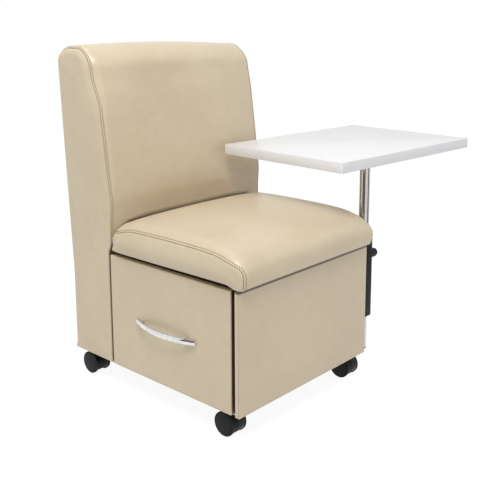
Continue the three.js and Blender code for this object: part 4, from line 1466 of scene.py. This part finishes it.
        # Painted shade in the gap under the cushion, and under the front's lip where it overhangs the panel.
        underside_shade = ease(inboard, 12 * MM, 16 * MM) * ease(-normal[:, 1], 0.85, 0.97)
        lip_shade = 1 - ease(points[..., 2] - self.underside, 3 * MM, 7 * MM)
        lip_shade *= ease(inboard, 2 * MM, 8 * MM) * (points[..., 1] < self.front_y + 30 * MM)
        return np.maximum(underside_shade, lip_shade)


@dataclass
class Stitcher:
    """Lays stitches: one small thread loop, modelled once and copied along a seam."""

    length: float = 2.7 * MM
    radius: float = 0.85 * MM
    sides: int = 6
    dip: float = 1.4
    sewn: float = 0.9

    def loop(self) -> bpy.types.Object:
        """Models one stitch along X: a round thread that dips into its holes at both ends.

        Returns:
            The stitch.
        """
        half = self.length / 2
        piece = cylinder("stitch", Axis.X, self.radius, -half, half, (0, 0, 0), self.sides)
        with editing(piece, "EDGE"):
            pick(piece, "edges", lambda e: abs(e.verts[0].co.x - e.verts[1].co.x) > half)
            bpy.ops.mesh.subdivide(number_cuts=3)
        points = points_of(piece)
        bend = (2 * points[:, 0] / self.length) ** 2
        points[:, 2] -= self.dip * self.radius * bend**2
        set_points(piece, points)
        return piece

    def sew(self, name: str, line: np.ndarray, pitch: float, lift: float,
            keep: np.ndarray) -> bpy.types.Object:
        """Copies the stitch along a line.

        Args:
            name: The row's name.
            line: Places and outward directions along the closed outline, one a row.
            pitch: The step from one stitch to the next.
            lift: How far the thread's middle lies above the line.
            keep: Where the row is sewn, from 0 to 1 at each point.

        Returns:
            One piece with every stitch of the row.
        """
        template = self.loop()
        shape = points_of(template)
        travelled = np.append(0, np.cumsum(np.linalg.norm(np.diff(line[:, :3], axis=0), axis=1)))
        places = np.linspace(0, travelled[-1], int(travelled[-1] / pitch) + 1)
        path = np.column_stack([np.interp(places, travelled, column) for column in [*line.T, keep]])
        middles = (path[1:] + path[:-1]) / 2
        along = np.diff(path[:, :3], axis=0)
        faces = [tuple(p.vertices) for p in template.data.polygons]
        rows, polygons = [], []
        for middle, direction in zip(middles, along):
            if middle[6] < self.sewn:
                continue
            x = Vector(direction).normalized()
            out = Vector(middle[3:6]).normalized()
            y = out.cross(x).normalized()
            turn = np.array([x, y, x.cross(y)])
            first = len(rows) * len(shape)
            rows.append(shape @ turn + middle[:3] + lift * np.array(out))
            polygons.extend(tuple(first + k for k in face) for face in faces)
        bpy.data.objects.remove(template)
        mesh = bpy.data.meshes.new(name)
        mesh.from_pydata(np.concatenate(rows).tolist(), [], polygons)
        made = bpy.data.objects.new(name, mesh)
        bpy.context.scene.collection.objects.link(made)
        return made


@dataclass
class Upholstery:
    """The back and the seat cushion with their seams."""

    dresser: Dresser
    back_nodes: tuple[str, ...] = (
        "back_side_panel_left", "back_side_panel_right", "back_pad", "back_rear_panel")
    thread_lift: float = 0.75 * MM
    clearance: float = 0.3 * MM

    def sew_rows(self, pad: SidedPad, name: str, rows: np.ndarray) -> None:
        """Lays the four stitch rows of a pad.

        Args:
            pad: The pad.
            name: What the rows' names start with.
            rows: The stitch lines.
        """
        keep = pad.seam_mask(pad.outline())
        stitcher = Stitcher()
        labels = ("seam_left", "seam_right", "topstitch_left", "topstitch_right")
        for label, line in zip(labels, rows):
            row = stitcher.sew(f"{name}_{label}", line, pad.stitch_pitch, self.thread_lift, keep)
            self.dresser.finish(row, Body.BASE.value, Slot.VINYL, angle=60,
                                material=self.dresser.wardrobe.thread)

    def make_back(self) -> None:
        """Makes the back in one padded piece."""
        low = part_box("back_side_panel_left")[0]
        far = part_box("back_side_panel_right")[1]
        front_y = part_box("carcass_side_wall")[1].y + self.clearance
        pad = BackPad(low_x=low.x, high_x=far.x, front_y=front_y, underside=low.z)
        piece, rows = pad.model("back_upholstery")
        self.dresser.finish(piece, Body.BASE.value, Slot.VINYL, self.back_nodes, angle=60)
        self.sew_rows(pad, "back", rows)

    def make_seat(self) -> None:
        """Makes the seat cushion."""
        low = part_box("seat_cushion")[0]
        box_low, box_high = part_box("front_panel")
        pad = SeatPad(low_x=box_low.x, high_x=box_high.x, front_y=box_low.y, underside=low.z)
        piece, rows = pad.model("seat_upholstery")
        self.dresser.finish(piece, Body.BASE.value, Slot.VINYL, ("seat_cushion",), angle=60)
        self.sew_rows(pad, "seat", rows)

    def make(self) -> None:
        """Makes the back and the seat."""
        self.make_back()
        self.make_seat()


@dataclass
class WrappedBoard:
    """A board wrapped in thin foam and vinyl: soft edges, a face that swells a little, a corner seam.

    Painted shade can darken it: on its end face in from the board's low end, and in a band down from its top.
    """

    node: str
    face: Axis
    body: Body
    edge: float
    swell: float
    outward: int = -1
    dark_end: float = 0.0
    dark_top: float = 0.0
    top_tone: float = 0.85
    fade: float = 1.4 * MM
    spacing: float = 9 * MM
    groove: float = 0.0
    groove_place: float = 1.0 * MM
    groove_half: float = 0.7 * MM
    ripple: float = 0.25

    def cuts(self, low: Vector, high: Vector, outer: float) -> Iterator[tuple[Axis, float]]:
        """The cuts that give the board points to move: rows over its face, its groove and its painted shade
        marks.

        Args:
            low: The board's lowest corner.
            high: Its highest corner.
            outer: The outer face's place.

        Yields:
            An axis and a place on it.
        """
        for axis in self.across():
            inner = high[axis.value] - low[axis.value] - 2 * self.edge
            count = max(2, int(inner / self.spacing))
            for k in range(1, count):
                yield axis, low[axis.value] + self.edge + inner * k / count
        if self.groove:
            for step in (-1, 0, 1):
                depth = self.edge + self.groove_place + step * self.groove_half
                yield self.face, outer - self.outward * depth
        if self.dark_top:
            for step in (0, self.fade):
                yield Axis.Z, high.z - self.dark_top - step
        if self.dark_end:
            for step in (-MM, 0):
                yield self.face, outer + self.dark_end + step

    def across(self) -> list[Axis]:
        """The two axes that the board's face runs along."""
        return [axis for axis in Axis if axis is not self.face]

    def make(self, dresser: Dresser) -> None:
        """Models and dresses the board.

        Args:
            dresser: Finishes the piece.
        """
        low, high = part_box(self.node)
        start = low if self.outward < 0 else high
        outer = start[self.face.value]
        piece = cube(f"{self.node}_wrapped", low, high)
        round_edges(piece, self.edge, 5)
        with editing(piece):
            for axis, place in self.cuts(low, high, outer):
                slice_across(start, axis, place)
        self.shape(piece, low, high, outer)
        dresser.finish(piece, self.body.value, Slot.VINYL, (self.node,), angle=60)

    def shape(self, piece: bpy.types.Object, low: Vector, high: Vector, outer: float) -> None:
        """Swells the outer face, presses the groove beside its corner and stores the painted shade marks.

        Args:
            piece: The board.
            low: Its lowest corner.
            high: Its highest corner.
            outer: The outer face's place.
        """
        points = points_of(piece)
        depth = self.face.value
        under = -self.outward * (points[:, depth] - outer)
        front = 1 - ease(under, 0, 0.5 * (high[depth] - low[depth]))
        share = np.ones(len(points))
        seam = self.edge + self.groove_place
        # Painted shade in the groove beside the corner.
        mark = np.clip(1 - np.abs(under - seam) / (0.5 * self.groove_half), 0, 1) * bool(self.groove)
        for axis in self.across():
            span = high[axis.value] - low[axis.value]
            place = (points[:, axis.value] - low[axis.value]) / span
            share *= np.clip(4 * place * (1 - place), 0, 1) ** 0.5
            side = np.where(place < 0.5, 1, -1) * (np.minimum(place, 1 - place) * span < 0.5 * self.edge)
            points[:, axis.value] += side * self.groove * mark
        ripple = np.sin(points[:, 0] * 31 + points[:, 2] * 17) * np.sin(points[:, 1] * 23 + points[:, 2] * 27)
        points[:, depth] += self.outward * front * share * self.swell * (1 + self.ripple * ripple)
        set_points(piece, points)
        # Painted shade on the end face, in the gap beside the board.
        if self.dark_end:
            past = ease(points[:, 0] - low.x, self.dark_end - MM, self.dark_end)
            mark = np.maximum(mark, past * (points[:, 1] < low.y + MM))
        # Painted shadow in a band under the top, where an overhang shades it.
        if self.dark_top:
            drop = high.z - points[:, 2]
            shown = 1 - ease(drop, self.dark_top, self.dark_top + self.fade)
            mark = np.maximum(mark, self.top_tone * shown)
        set_painted_shade(piece, mark)


# Handle


@dataclass
class BowHandle:
    """A chrome bow with a softly crowned face that springs from two wedge feet."""

    dresser: Dresser
    band: float = 4.5 * MM
    foot: float = 25 * MM
    end_depth: float = 8 * MM
    steps: int = 28
    crown: float = 2.2 * MM
    overhang: Range = (8.5 * MM, 3.3 * MM)
    foot_slope: float = 0.6 * MM
    rows: int = 6

    def make(self) -> None:
        """Models and dresses the handle."""
        low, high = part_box("drawer_handle")
        low.y, high.y = low.y - self.overhang[0], high.y - self.overhang[1]
        half = (high.y - low.y) / 2
        middle = (high.y + low.y) / 2
        inner = half - self.foot
        piece = cube("handle_bow", (high.x - self.band, low.y, low.z), high)
        cuts = [low.y + (high.y - low.y) * k / (2 * self.steps) for k in range(1, 2 * self.steps)]
        slope = (-self.foot_slope, self.foot_slope)
        cuts += [middle + sign * (inner + step) for sign in (-1, 1) for step in slope]
        with editing(piece):
            for place in cuts:
                slice_across(low, Axis.Y, place)
            for k in range(1, self.rows):
                slice_across(low, Axis.Z, low.z + (high.z - low.z) * k / self.rows)
        points = points_of(piece)
        across = points[:, 1] - middle
        front = points[:, 0] < high.x - self.band / 2
        reach = high.x - low.x
        bow = self.end_depth + (reach - self.end_depth) * (1 - (across / half) ** 2)
        round_face = self.crown * ((points[:, 2] - (low.z + high.z) / 2) / ((high.z - low.z) / 2)) ** 2
        under = np.where(np.abs(across) < inner, bow - self.band, 0)
        points[:, 0] = high.x - np.where(front, bow - round_face, under)
        set_points(piece, points)
        round_edges(piece, 0.5 * MM, 2, 60)
        self.dresser.finish(piece, Body.DRAWER.value, Slot.CHROME, ("drawer_handle",), angle=40)


# Side table


@dataclass
class SideTable:
    """The table board, its edge band, its flange, the post, its sleeve and its knob."""

    dresser: Dresser
    turn: float = math.radians(-3.9)
    board_corner: float = 3 * MM
    band: float = 1.0 * MM
    gap: float = 0.3 * MM
    post_radius: float = 12.7 * MM
    post_wall: float = 1.5 * MM
    plug_rim: float = 2.7 * MM
    plug_inset: float = 1.9 * MM
    sleeve_wall: float = 2 * MM
    bush_wall: float = 1.6 * MM
    boss_radius: float = 10 * MM
    collar: float = 5.5 * MM
    flange_half: Range = (27 * MM, 23 * MM)
    flange_corner: float = 6 * MM
    plate: float = 3 * MM
    plate_corner: float = 4 * MM
    screw_inset: float = 9 * MM
    standoff: float = 24 * MM
    knob_swell: float = 1.0 * MM
    knob_rows: int = 9
    lobes: int = 6
    lobe_depth: float = 0.035

    def on_post(self) -> Matrix:
        """The move from the post's axis at the origin to its place, turned as the table is."""
        axis = middle_of("table_post")
        return Matrix.Translation((axis.x, axis.y, 0)) @ Matrix.Rotation(self.turn, 4, "Z")

    def make_board(self) -> None:
        """Makes the laminated board and the band round its edge."""
        axis = middle_of("table_post")
        corners = np.array([v.co for v in bpy.data.objects["table_edge_band"].data.vertices])
        cos, sin = math.cos(-self.turn), math.sin(-self.turn)
        flat = (corners[:, :2] - np.array(axis[:2])) @ np.array([[cos, sin], [-sin, cos]])
        low = np.append(flat.min(axis=0), corners[:, 2].min())
        high = np.append(flat.max(axis=0), corners[:, 2].max())
        inset = np.array([self.band + self.gap / 2] * 2 + [0])
        board = cube("table_top", low + inset, high - inset)
        round_corners(board, self.board_corner - self.band)
        round_edges(board, 0.25 * MM, 2, 60)
        board.data.transform(self.on_post())
        self.dresser.finish(board, Body.TABLE.value, Slot.LAMINATE, ("table_board",))
        ring = cube("table_band", low, high)
        round_corners(ring, self.board_corner)
        hollow_out(ring, self.band)
        round_edges(ring, 0.3 * MM, 2, 60)
        ring.data.transform(self.on_post())
        self.dresser.finish(ring, Body.TABLE.value, Slot.EDGE_BAND, ("table_edge_band",))

    def make_post(self) -> None:
        """Makes the chrome tube and the plug in its lower end."""
        low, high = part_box("table_post")
        axis = middle_of("table_post")
        tube = pipe("post_tube", self.post_radius, low.z, high.z, axis, -self.post_wall, 96)
        round_edges(tube, 0.3 * MM, 2, 60)
        # The post takes the darker, warmer chrome: a painted reflection.
        self.dresser.finish(tube, Body.POST.value, Slot.CHROME, ("table_post",),
                            material=self.dresser.wardrobe.tube)
        low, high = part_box("post_end_plug")
        plug = cylinder("post_plug", Axis.Z, self.post_radius, low.z, low.z + self.plug_rim, axis)
        with editing(plug):
            pick(plug, "faces", lambda f: f.normal.z > FACING)
            bpy.ops.mesh.inset(thickness=self.plug_inset)
            rise = high.z - low.z - self.plug_rim
            bpy.ops.mesh.extrude_region_move(TRANSFORM_OT_translate={"value": (0, 0, rise)})
        round_edges(plug, 0.6 * MM, 3, 60)
        self.dresser.finish(plug, Body.POST.value, Slot.BLACK_PLASTIC, ("post_end_plug",))

    def make_sleeve(self) -> None:
        """Makes the square sleeve, its clamp boss and the bushes in its ends."""
        low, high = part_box("post_sleeve")
        bush_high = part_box("sleeve_bush_top")[1]
        tube_high = Vector((bush_high.x + self.sleeve_wall + self.gap, high.y, high.z))
        tube = cube("sleeve_tube", low, tube_high)
        round_corners(tube, 2 * self.sleeve_wall)
        hollow_out(tube, self.sleeve_wall)
        boss = cylinder("boss", Axis.X, self.boss_radius, tube_high.x - self.sleeve_wall / 2, high.x,
                        middle_of("clamp_knob"), 48)
        sleeve = join("sleeve_tube", [tube, boss])
        round_edges(sleeve, 0.5 * MM, 2, 60)
        self.dresser.finish(sleeve, Body.BASE.value, Slot.BLACK_STEEL, ("post_sleeve",))
        for end in ("bottom", "top"):
            node = f"sleeve_bush_{end}"
            low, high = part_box(node)
            inside = self.post_radius + self.gap
            ring = pipe(f"bush_{end}", inside, low.z, high.z, middle_of(node), self.bush_wall)
            round_edges(ring, 0.3 * MM, 2, 60)
            self.dresser.finish(ring, Body.BASE.value, Slot.BLACK_PLASTIC, (node,))

    def make_flange(self) -> None:
        """Makes the plate under the board with its collar and four screws."""
        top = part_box("table_flange")[1].z
        under = top - self.plate
        x, y = self.flange_half
        plate = cube("plate", (-x, -y, under), (x, y, top))
        round_corners(plate, self.flange_corner)
        inside = self.post_radius + self.gap
        collar = pipe("collar", inside, top - self.collar, top - 2 * MM, (0, 0, 0), 2 * MM)
        flange = join("flange_plate", [plate, collar])
        round_edges(flange, 0.5 * MM, 2, 60)
        flange.data.transform(self.on_post())
        self.dresser.finish(flange, Body.TABLE.value, Slot.BLACK_STEEL, ("table_flange",))
        x, y = x - self.screw_inset, y - self.screw_inset
        spots = [self.on_post() @ Vector((sx * x, sy * y, under)) for sx in (-1, 1) for sy in (-1, 1)]
        Screws(self.dresser).drive("flange_screws", spots, Vector((0, 0, -1)), Body.TABLE.value)

    def make_knob(self) -> None:
        """Makes the lobed clamp knob."""
        low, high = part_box("clamp_knob")
        centre = middle_of("clamp_knob")
        radius = (high.y - low.y) / 2 + self.knob_swell
        knob = cylinder("knob_grip", Axis.X, radius, low.x, high.x, centre, 96)
        with editing(knob):
            for k in range(1, self.knob_rows):
                slice_across(low, Axis.X, low.x + (high.x - low.x) * k / self.knob_rows)
        points = points_of(knob)
        share = (points[:, 0] - low.x) / (high.x - low.x)
        across = points[:, 1:] - np.array([centre.y, centre.z])
        angle = np.arctan2(across[:, 1], across[:, 0])
        lobes = 1 - self.lobe_depth * (1 - np.cos(self.lobes * angle)) * ease(share, 0.1, 0.3)
        neck = 0.86 + 0.14 * ease(share, 0.02, 0.2) - 0.06 * ease(share, 0.9, 1.0)
        points[:, 1:] = np.array([centre.y, centre.z]) + across * (lobes * neck)[:, None]
        set_points(knob, points)
        round_edges(knob, 0.8 * MM, 3, 50)
        self.dresser.finish(knob, Body.KNOB.value, Slot.BLACK_PLASTIC, ("clamp_knob",), angle=50)

    def make_bracket(self) -> None:
        """Makes the bracket that holds the sleeve on the box's side, with its screws."""
        low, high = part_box("sleeve_bracket")
        face = low.x + self.plate
        pieces = [cube("sleeve_plate", low, (face, high.y, high.z))]
        round_corners(pieces[0], self.plate_corner, Axis.X)
        sleeve_low, sleeve_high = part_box("post_sleeve")
        start_y, end_y = sleeve_low.y + self.gap, sleeve_high.y - self.gap
        for z in (low.z, high.z - self.standoff):
            pieces.append(cube("standoff", (face - MM, start_y, z), (high.x, end_y, z + self.standoff)))
        bracket = join("sleeve_mount", pieces)
        round_edges(bracket, 0.5 * MM, 2, 60)
        self.dresser.finish(bracket, Body.BASE.value, Slot.BLACK_STEEL, ("sleeve_bracket",))
        spots = [Vector((face, high.y - 8 * MM, low.z + (high.z - low.z) * share))
                 for share in (0.1, 0.5, 0.9)]
        Screws(self.dresser).drive("bracket_screws", spots, Vector((1, 0, 0)), Body.BASE.value)

    def make(self) -> None:
        """Makes every piece of the table."""
        self.make_board()
        self.make_post()
        self.make_sleeve()
        self.make_bracket()
        self.make_flange()
        self.make_knob()


@dataclass
class Screws:
    """Pan-head screws with a round recess, modelled once and copied."""

    dresser: Dresser
    radius: float = 3.6 * MM
    height: float = 2.0 * MM
    dome: float = 0.35 * MM
    recess: float = 0.9 * MM

    def drive(self, name: str, spots: Sequence[Vector], out: Vector, body: str) -> None:
        """Places screws on a face.

        Args:
            name: The piece's name.
            spots: Where the heads sit.
            out: The direction that the heads face.
            body: The body that they ride on.
        """
        head = cylinder("head", Axis.Z, self.radius, 0, self.height, (0, 0, 0), 24)
        with editing(head):
            pick(head, "faces", lambda f: f.normal.z > FACING)
            bpy.ops.mesh.inset(thickness=0.3 * self.radius)
            bpy.ops.transform.translate(value=(0, 0, self.dome))
            bpy.ops.mesh.inset(thickness=0.36 * self.radius)
            bpy.ops.mesh.extrude_region_move(TRANSFORM_OT_translate={"value": (0, 0, -self.recess)})
        round_edges(head, 0.25 * MM, 2, 50)
        turn = out.to_track_quat("Z", "Y").to_matrix().to_4x4()
        copies = [copy_moved(head, f"{name}_{k}", Matrix.Translation(spot) @ turn)
                  for k, spot in enumerate(spots)]
        bpy.data.objects.remove(head)
        self.dresser.finish(join(name, copies), body, Slot.ZINC)


# Casters


@dataclass
class Casters:
    """Four twin-wheel casters: discs with a rim line, and a hood between them."""

    dresser: Dresser
    places: tuple[str, ...] = ("front_left", "front_right", "rear_left", "rear_right")
    radius: float = 27.5 * MM
    rim: float = 5 * MM
    hub: float = 23 * MM
    dome: float = 1.2 * MM
    face_rings: tuple[Range, ...] = (
        (2.6, 0), (0.35, 0.7), (0.35, 0), (0.2, -0.8), (4.2, -0.36), (4.2, -0.29), (4.2, -0.22), (4.2, -0.15),
        (4.2, -0.08))
    shell: float = 3.2 * MM
    web_half: float = 4 * MM
    boss_radius: float = 8 * MM
    hood_cut: float = 12 * MM

    def model_wheel(self, low: Vector, high: Vector, centre: Vector) -> bpy.types.Object:
        """Models a left wheel at the origin: its outer face looks along -X.

        The face's rings are insets, each followed by a move along X, in millimetres.

        Args:
            low: The real left wheel's lowest corner.
            high: Its highest corner.
            centre: Its caster's axle.

        Returns:
            The wheel.
        """
        outer, inner = low.x - centre.x, high.x - centre.x
        start = outer + self.dome
        wheel = cylinder("wheel", Axis.X, self.radius, start, start + self.rim, (0, 0, 0), 96)
        with editing(wheel):
            pick(wheel, "faces", lambda f: f.normal.x > FACING)
            bpy.ops.mesh.inset(thickness=self.radius - self.hub)
            reach = inner - start - self.rim
            bpy.ops.mesh.extrude_region_move(TRANSFORM_OT_translate={"value": (reach, 0, 0)})
            pick(wheel, "faces", lambda f: f.normal.x < -FACING)
            for inset, move in self.face_rings:
                bpy.ops.mesh.inset(thickness=inset * MM)
                bpy.ops.transform.translate(value=(move * MM, 0, 0))
        round_edges(wheel, 0.5 * MM, 3, 50)
        return wheel

    def model_hood(self, low: Vector, high: Vector, axle: Vector, kingpin: Vector) -> bpy.types.Object:
        """Models a hood round the origin: the shell over the hubs, the web and the kingpin's boss.

        Args:
            low: The real hood's lowest corner.
            high: Its highest corner.
            axle: The real axle's place.
            kingpin: The real kingpin's place.

        Returns:
            The hood.
        """
        half = (high.x - low.x) / 2
        shell = cylinder("shell", Axis.X, self.radius - 0.2 * MM, -half, half, (0, 0, 0), 96, "NOTHING")
        web = cylinder("web", Axis.X, self.radius - self.shell, -self.web_half, self.web_half, (0, 0, 0), 96)
        cuts = (((0, 0, self.hood_cut - axle.z), (0, 0, -1)),
                ((0, self.radius / 2, self.hood_cut), (0, 0.8, -0.6)))
        for part in (shell, web):
            with editing(part):
                for point, normal in cuts:
                    bpy.ops.mesh.select_all(action="SELECT")
                    bpy.ops.mesh.bisect(plane_co=point, plane_no=normal, clear_outer=True,
                                        use_fill=part is web)
        apply_modifier(shell, "SOLIDIFY", thickness=self.shell, offset=-1)
        boss_y = kingpin.y - axle.y
        boss = cylinder("boss", Axis.Z, self.boss_radius, 0, high.z - axle.z, (0, boss_y, 0), 48)
        hood = join("hood", [shell, web, boss])
        round_edges(hood, 0.7 * MM, 3, 50)
        return hood

    def make(self) -> None:
        """Models one wheel and one hood, and copies them to the four casters."""
        place = self.places[0]
        axle = middle_of(f"caster_axle_{place}")
        kingpin = middle_of(f"caster_plate_{place}")
        wheel = self.model_wheel(*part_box(f"wheel_left_{place}"), axle)
        hood = self.model_hood(*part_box(f"caster_hood_{place}"), axle, kingpin)
        mirror = Matrix.Scale(-1, 4, (1, 0, 0))
        for name in self.places:
            centre = Matrix.Translation(middle_of(f"caster_axle_{name}"))
            for side, turn in (("left", Matrix.Identity(4)), ("right", mirror)):
                disc = copy_moved(wheel, f"wheel_{side}_{name}_disc", centre @ turn)
                self.dresser.finish(disc, f"{name}_wheel_{side}", Slot.WHEEL_PLASTIC,
                                    (f"wheel_{side}_{name}",), angle=40)
            cover = copy_moved(hood, f"hood_{name}_shell", centre)
            self.dresser.finish(cover, f"{name}_fork", Slot.BLACK_PLASTIC, (f"caster_hood_{name}",), angle=40)
        for template in (wheel, hood):
            bpy.data.objects.remove(template)


# Studio


@dataclass(frozen=True)
class Lamp:
    """A soft square lamp: where it hangs, how wide it is and its power in watts."""

    name: str
    place: tuple[float, float, float]
    size: float
    power: float


@dataclass(frozen=True)
class Card:
    """An upright card that only shows as a reflection: its middle, its width and how light it is."""

    name: str
    place: tuple[float, float, float]
    width: float
    tone: float


@dataclass
class Studio:
    """The floor, the light and the camera of the photograph."""

    camera_offset: Vector = field(default_factory=lambda: Vector((-1.3631, -1.0349, 0.8204)))
    yaw: float = math.radians(46.7259)
    pitch: float = math.radians(10.4733)
    roll: float = math.radians(0.42498)
    focal_pixels: float = 798.936
    image_width: float = 480.0
    principal_x: float = 226.463
    principal_y: float = 165.425
    sensor: float = 36.0
    ambient: float = 0.5
    lamps: tuple[Lamp, ...] = (Lamp("key", (-1.5, -0.9, 3.0), 1.2, 53),
                               Lamp("overhead", (-0.5, 0.7, 2.7), 1.0, 7),
                               Lamp("fill", (1.8, -2.0, 1.2), 2.0, 4))
    lamp_target: Vector = field(default_factory=lambda: Vector((-0.1, 0, 0.4)))
    cards: tuple[Card, ...] = (Card("card_middle", (-2.16, -0.893, 1.0), 2.7, 0.24),
                               Card("card_right", (1.36, -2.26, 1.0), 1.5, 0.3))
    card_height: float = 2.4
    card_target: Vector = field(default_factory=lambda: Vector((0.045, -0.25, 0.5)))
    floor_radius: float = 9.0
    floor_tone: float = 0.85
    floor_glow: float = 1.13
    glow_share: float = 0.82

    def make_camera(self) -> None:
        """Stands the camera where the photograph was taken, measured from the box's front face."""
        low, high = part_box("front_panel")
        origin = Vector(((low.x + high.x) / 2, low.y, low.z))
        forward = Vector((math.sin(self.yaw) * math.cos(self.pitch),
                          math.cos(self.yaw) * math.cos(self.pitch), -math.sin(self.pitch)))
        level = Vector((math.cos(self.yaw), -math.sin(self.yaw), 0))
        down = forward.cross(level)
        right = math.cos(self.roll) * level + math.sin(self.roll) * down
        up = math.sin(self.roll) * level - math.cos(self.roll) * down
        data = bpy.data.cameras.new("camera")
        data.sensor_width = self.sensor
        data.lens = self.focal_pixels / self.image_width * self.sensor
        half = self.image_width / 2
        data.shift_x = (half - self.principal_x) / self.image_width
        data.shift_y = -(half - self.principal_y) / self.image_width
        camera = bpy.data.objects.new("camera", data)
        bpy.context.scene.collection.objects.link(camera)
        turn = Matrix((right, up, -forward)).transposed().to_4x4()
        camera.matrix_world = Matrix.Translation(origin + self.camera_offset) @ turn
        bpy.context.scene.camera = camera

    @staticmethod
    def ray_share(tree: bpy.types.NodeTree, *kinds: str) -> bpy.types.NodeSocket:
        """Tells some kinds of ray from the others.

        Args:
            tree: The node tree.
            kinds: Light Path's outputs.

        Returns:
            A value that is 1 for a ray of these kinds and 0 for any other.
        """
        rays = tree.nodes.new("ShaderNodeLightPath")
        share = rays.outputs[kinds[0]]
        for kind in kinds[1:]:
            either = tree.nodes.new("ShaderNodeMath")
            either.operation = "MAXIMUM"
            tree.links.new(share, either.inputs[0])
            tree.links.new(rays.outputs[kind], either.inputs[1])
            share = either.outputs["Value"]
        return share

    def make_world(self) -> None:
        """Lights the room evenly, and shows it white to the camera and in metal."""
        world = bpy.data.worlds.new("room")
        world.use_nodes = True
        tree = world.node_tree
        background = tree.nodes["Background"]
        strength = tree.nodes.new("ShaderNodeMapRange")
        strength.inputs["To Min"].default_value = self.ambient
        seen = self.ray_share(tree, "Is Camera Ray", "Is Glossy Ray", "Is Transmission Ray")
        tree.links.new(seen, strength.inputs["Value"])
        tree.links.new(strength.outputs["Result"], background.inputs["Strength"])
        background.inputs["Color"].default_value = (1, 1, 1, 1)
        bpy.context.scene.world = world

    def make_floor(self) -> None:
        """Lays a white floor that the camera sees nearly as bright as the room, with a soft shadow."""
        deselect()
        bpy.ops.mesh.primitive_circle_add(vertices=96, radius=self.floor_radius, fill_type="NGON")
        floor = bpy.context.object
        floor.name = "floor"
        board = Board("floor")
        board.shader.inputs["Base Color"].default_value = (*[self.floor_tone] * 3, 1)
        board.shader.inputs["Roughness"].default_value = 0.9
        glow = board.node("ShaderNodeEmission", Strength=self.floor_glow)
        share = board.node("ShaderNodeMath", operation="MULTIPLY")
        share.inputs[1].default_value = self.glow_share
        board.link(self.ray_share(board.tree, "Is Camera Ray", "Is Glossy Ray"), share.inputs[0])
        mix = board.node("ShaderNodeMixShader")
        board.link(share.outputs["Value"], mix.inputs["Fac"])
        board.link(board.shader.outputs["BSDF"], mix.inputs[1])
        board.link(glow.outputs["Emission"], mix.inputs[2])
        board.link(mix.outputs["Shader"], board.tree.nodes["Material Output"].inputs["Surface"])
        floor.data.materials.append(board.material)

    @staticmethod
    def aimed(place: Vector, towards: Vector, track: str) -> Matrix:
        """The matrix of something at a place that looks along a direction."""
        return Matrix.Translation(place) @ towards.to_track_quat(track, "Y").to_matrix().to_4x4()

    def make_card(self, card: Card) -> None:
        """Stands a card.

        Args:
            card: The card.
        """
        deselect()
        bpy.ops.mesh.primitive_plane_add(size=1)
        sheet = bpy.context.object
        sheet.name = card.name
        sheet.scale = (card.width, self.card_height, 1)
        settle_place(sheet)
        place = Vector(card.place)
        towards = self.card_target - place
        towards.z = 0
        sheet.data.transform(self.aimed(place, towards, "Z"))
        board = Board(card.name)
        board.shader.inputs["Base Color"].default_value = (card.tone, 0.85 * card.tone, 0.7 * card.tone, 1)
        board.shader.inputs["Roughness"].default_value = 1
        sheet.data.materials.append(board.material)
        for flag in ("visible_camera", "visible_diffuse", "visible_shadow", "visible_transmission"):
            setattr(sheet, flag, False)

    def make_lamp(self, lamp: Lamp) -> None:
        """Hangs a lamp.

        Args:
            lamp: The lamp.
        """
        data = bpy.data.lights.new(lamp.name, "AREA")
        data.size = lamp.size
        data.energy = lamp.power
        hung = bpy.data.objects.new(lamp.name, data)
        bpy.context.scene.collection.objects.link(hung)
        place = Vector(lamp.place)
        hung.matrix_world = self.aimed(place, self.lamp_target - place, "-Z")

    def make(self) -> None:
        """Sets up the whole studio."""
        self.make_camera()
        self.make_world()
        self.make_floor()
        for lamp in self.lamps:
            self.make_lamp(lamp)
        for card in self.cards:
            self.make_card(card)
        bpy.context.scene.view_settings.view_transform = "Standard"


def dress_frame(nodes: dict[str, bpy.types.Object], record: dict, wardrobe: Wardrobe) -> None:
    """Gives every node of the frame its slot's finish.

    Args:
        nodes: The frame's nodes by name.
        record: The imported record.
        wardrobe: The finishes.
    """
    for part in record["subparts"]:
        name = part["node"]
        # The carcass boards behind the gaps take the near-black timber: painted shade.
        shade_dark = wardrobe.shade_timber if name in SHADE_TIMBER_NODES else None
        wardrobe.put_on(nodes[name], Slot(part["material_slot"]), shade_dark)


def main() -> None:
    """Loads the frame, builds each sub-assembly and reports it."""
    logging.basicConfig(level=logging.INFO, format="%(name)s: %(message)s")
    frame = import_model()
    wardrobe = Wardrobe()
    dress_frame(frame["nodes"], frame["record"], wardrobe)
    dresser = Dresser(wardrobe)
    Studio().make()
    Upholstery(dresser).make()
    boards = (
        # The front panel's dark_top is a painted shadow under the seat's lip; the drawer front's dark_end is
        # painted shade in the gap.
        WrappedBoard("front_panel", Axis.Y, Body.BASE, edge=1.3 * MM, swell=1.2 * MM, groove=0.6 * MM,
                     groove_place=0.6 * MM, dark_top=4.4 * MM),
        WrappedBoard("drawer_front", Axis.X, Body.DRAWER, edge=2.6 * MM, swell=1.5 * MM, dark_end=4.5 * MM),
        WrappedBoard("carcass_side_wall", Axis.X, Body.BASE, edge=1.5 * MM, swell=0.6 * MM, outward=1),
    )
    for board in boards:
        board.make(dresser)
    BowHandle(dresser).make()
    SideTable(dresser).make()
    Casters(dresser).make()
    deselect()


if __name__ == "__main__":
    main()
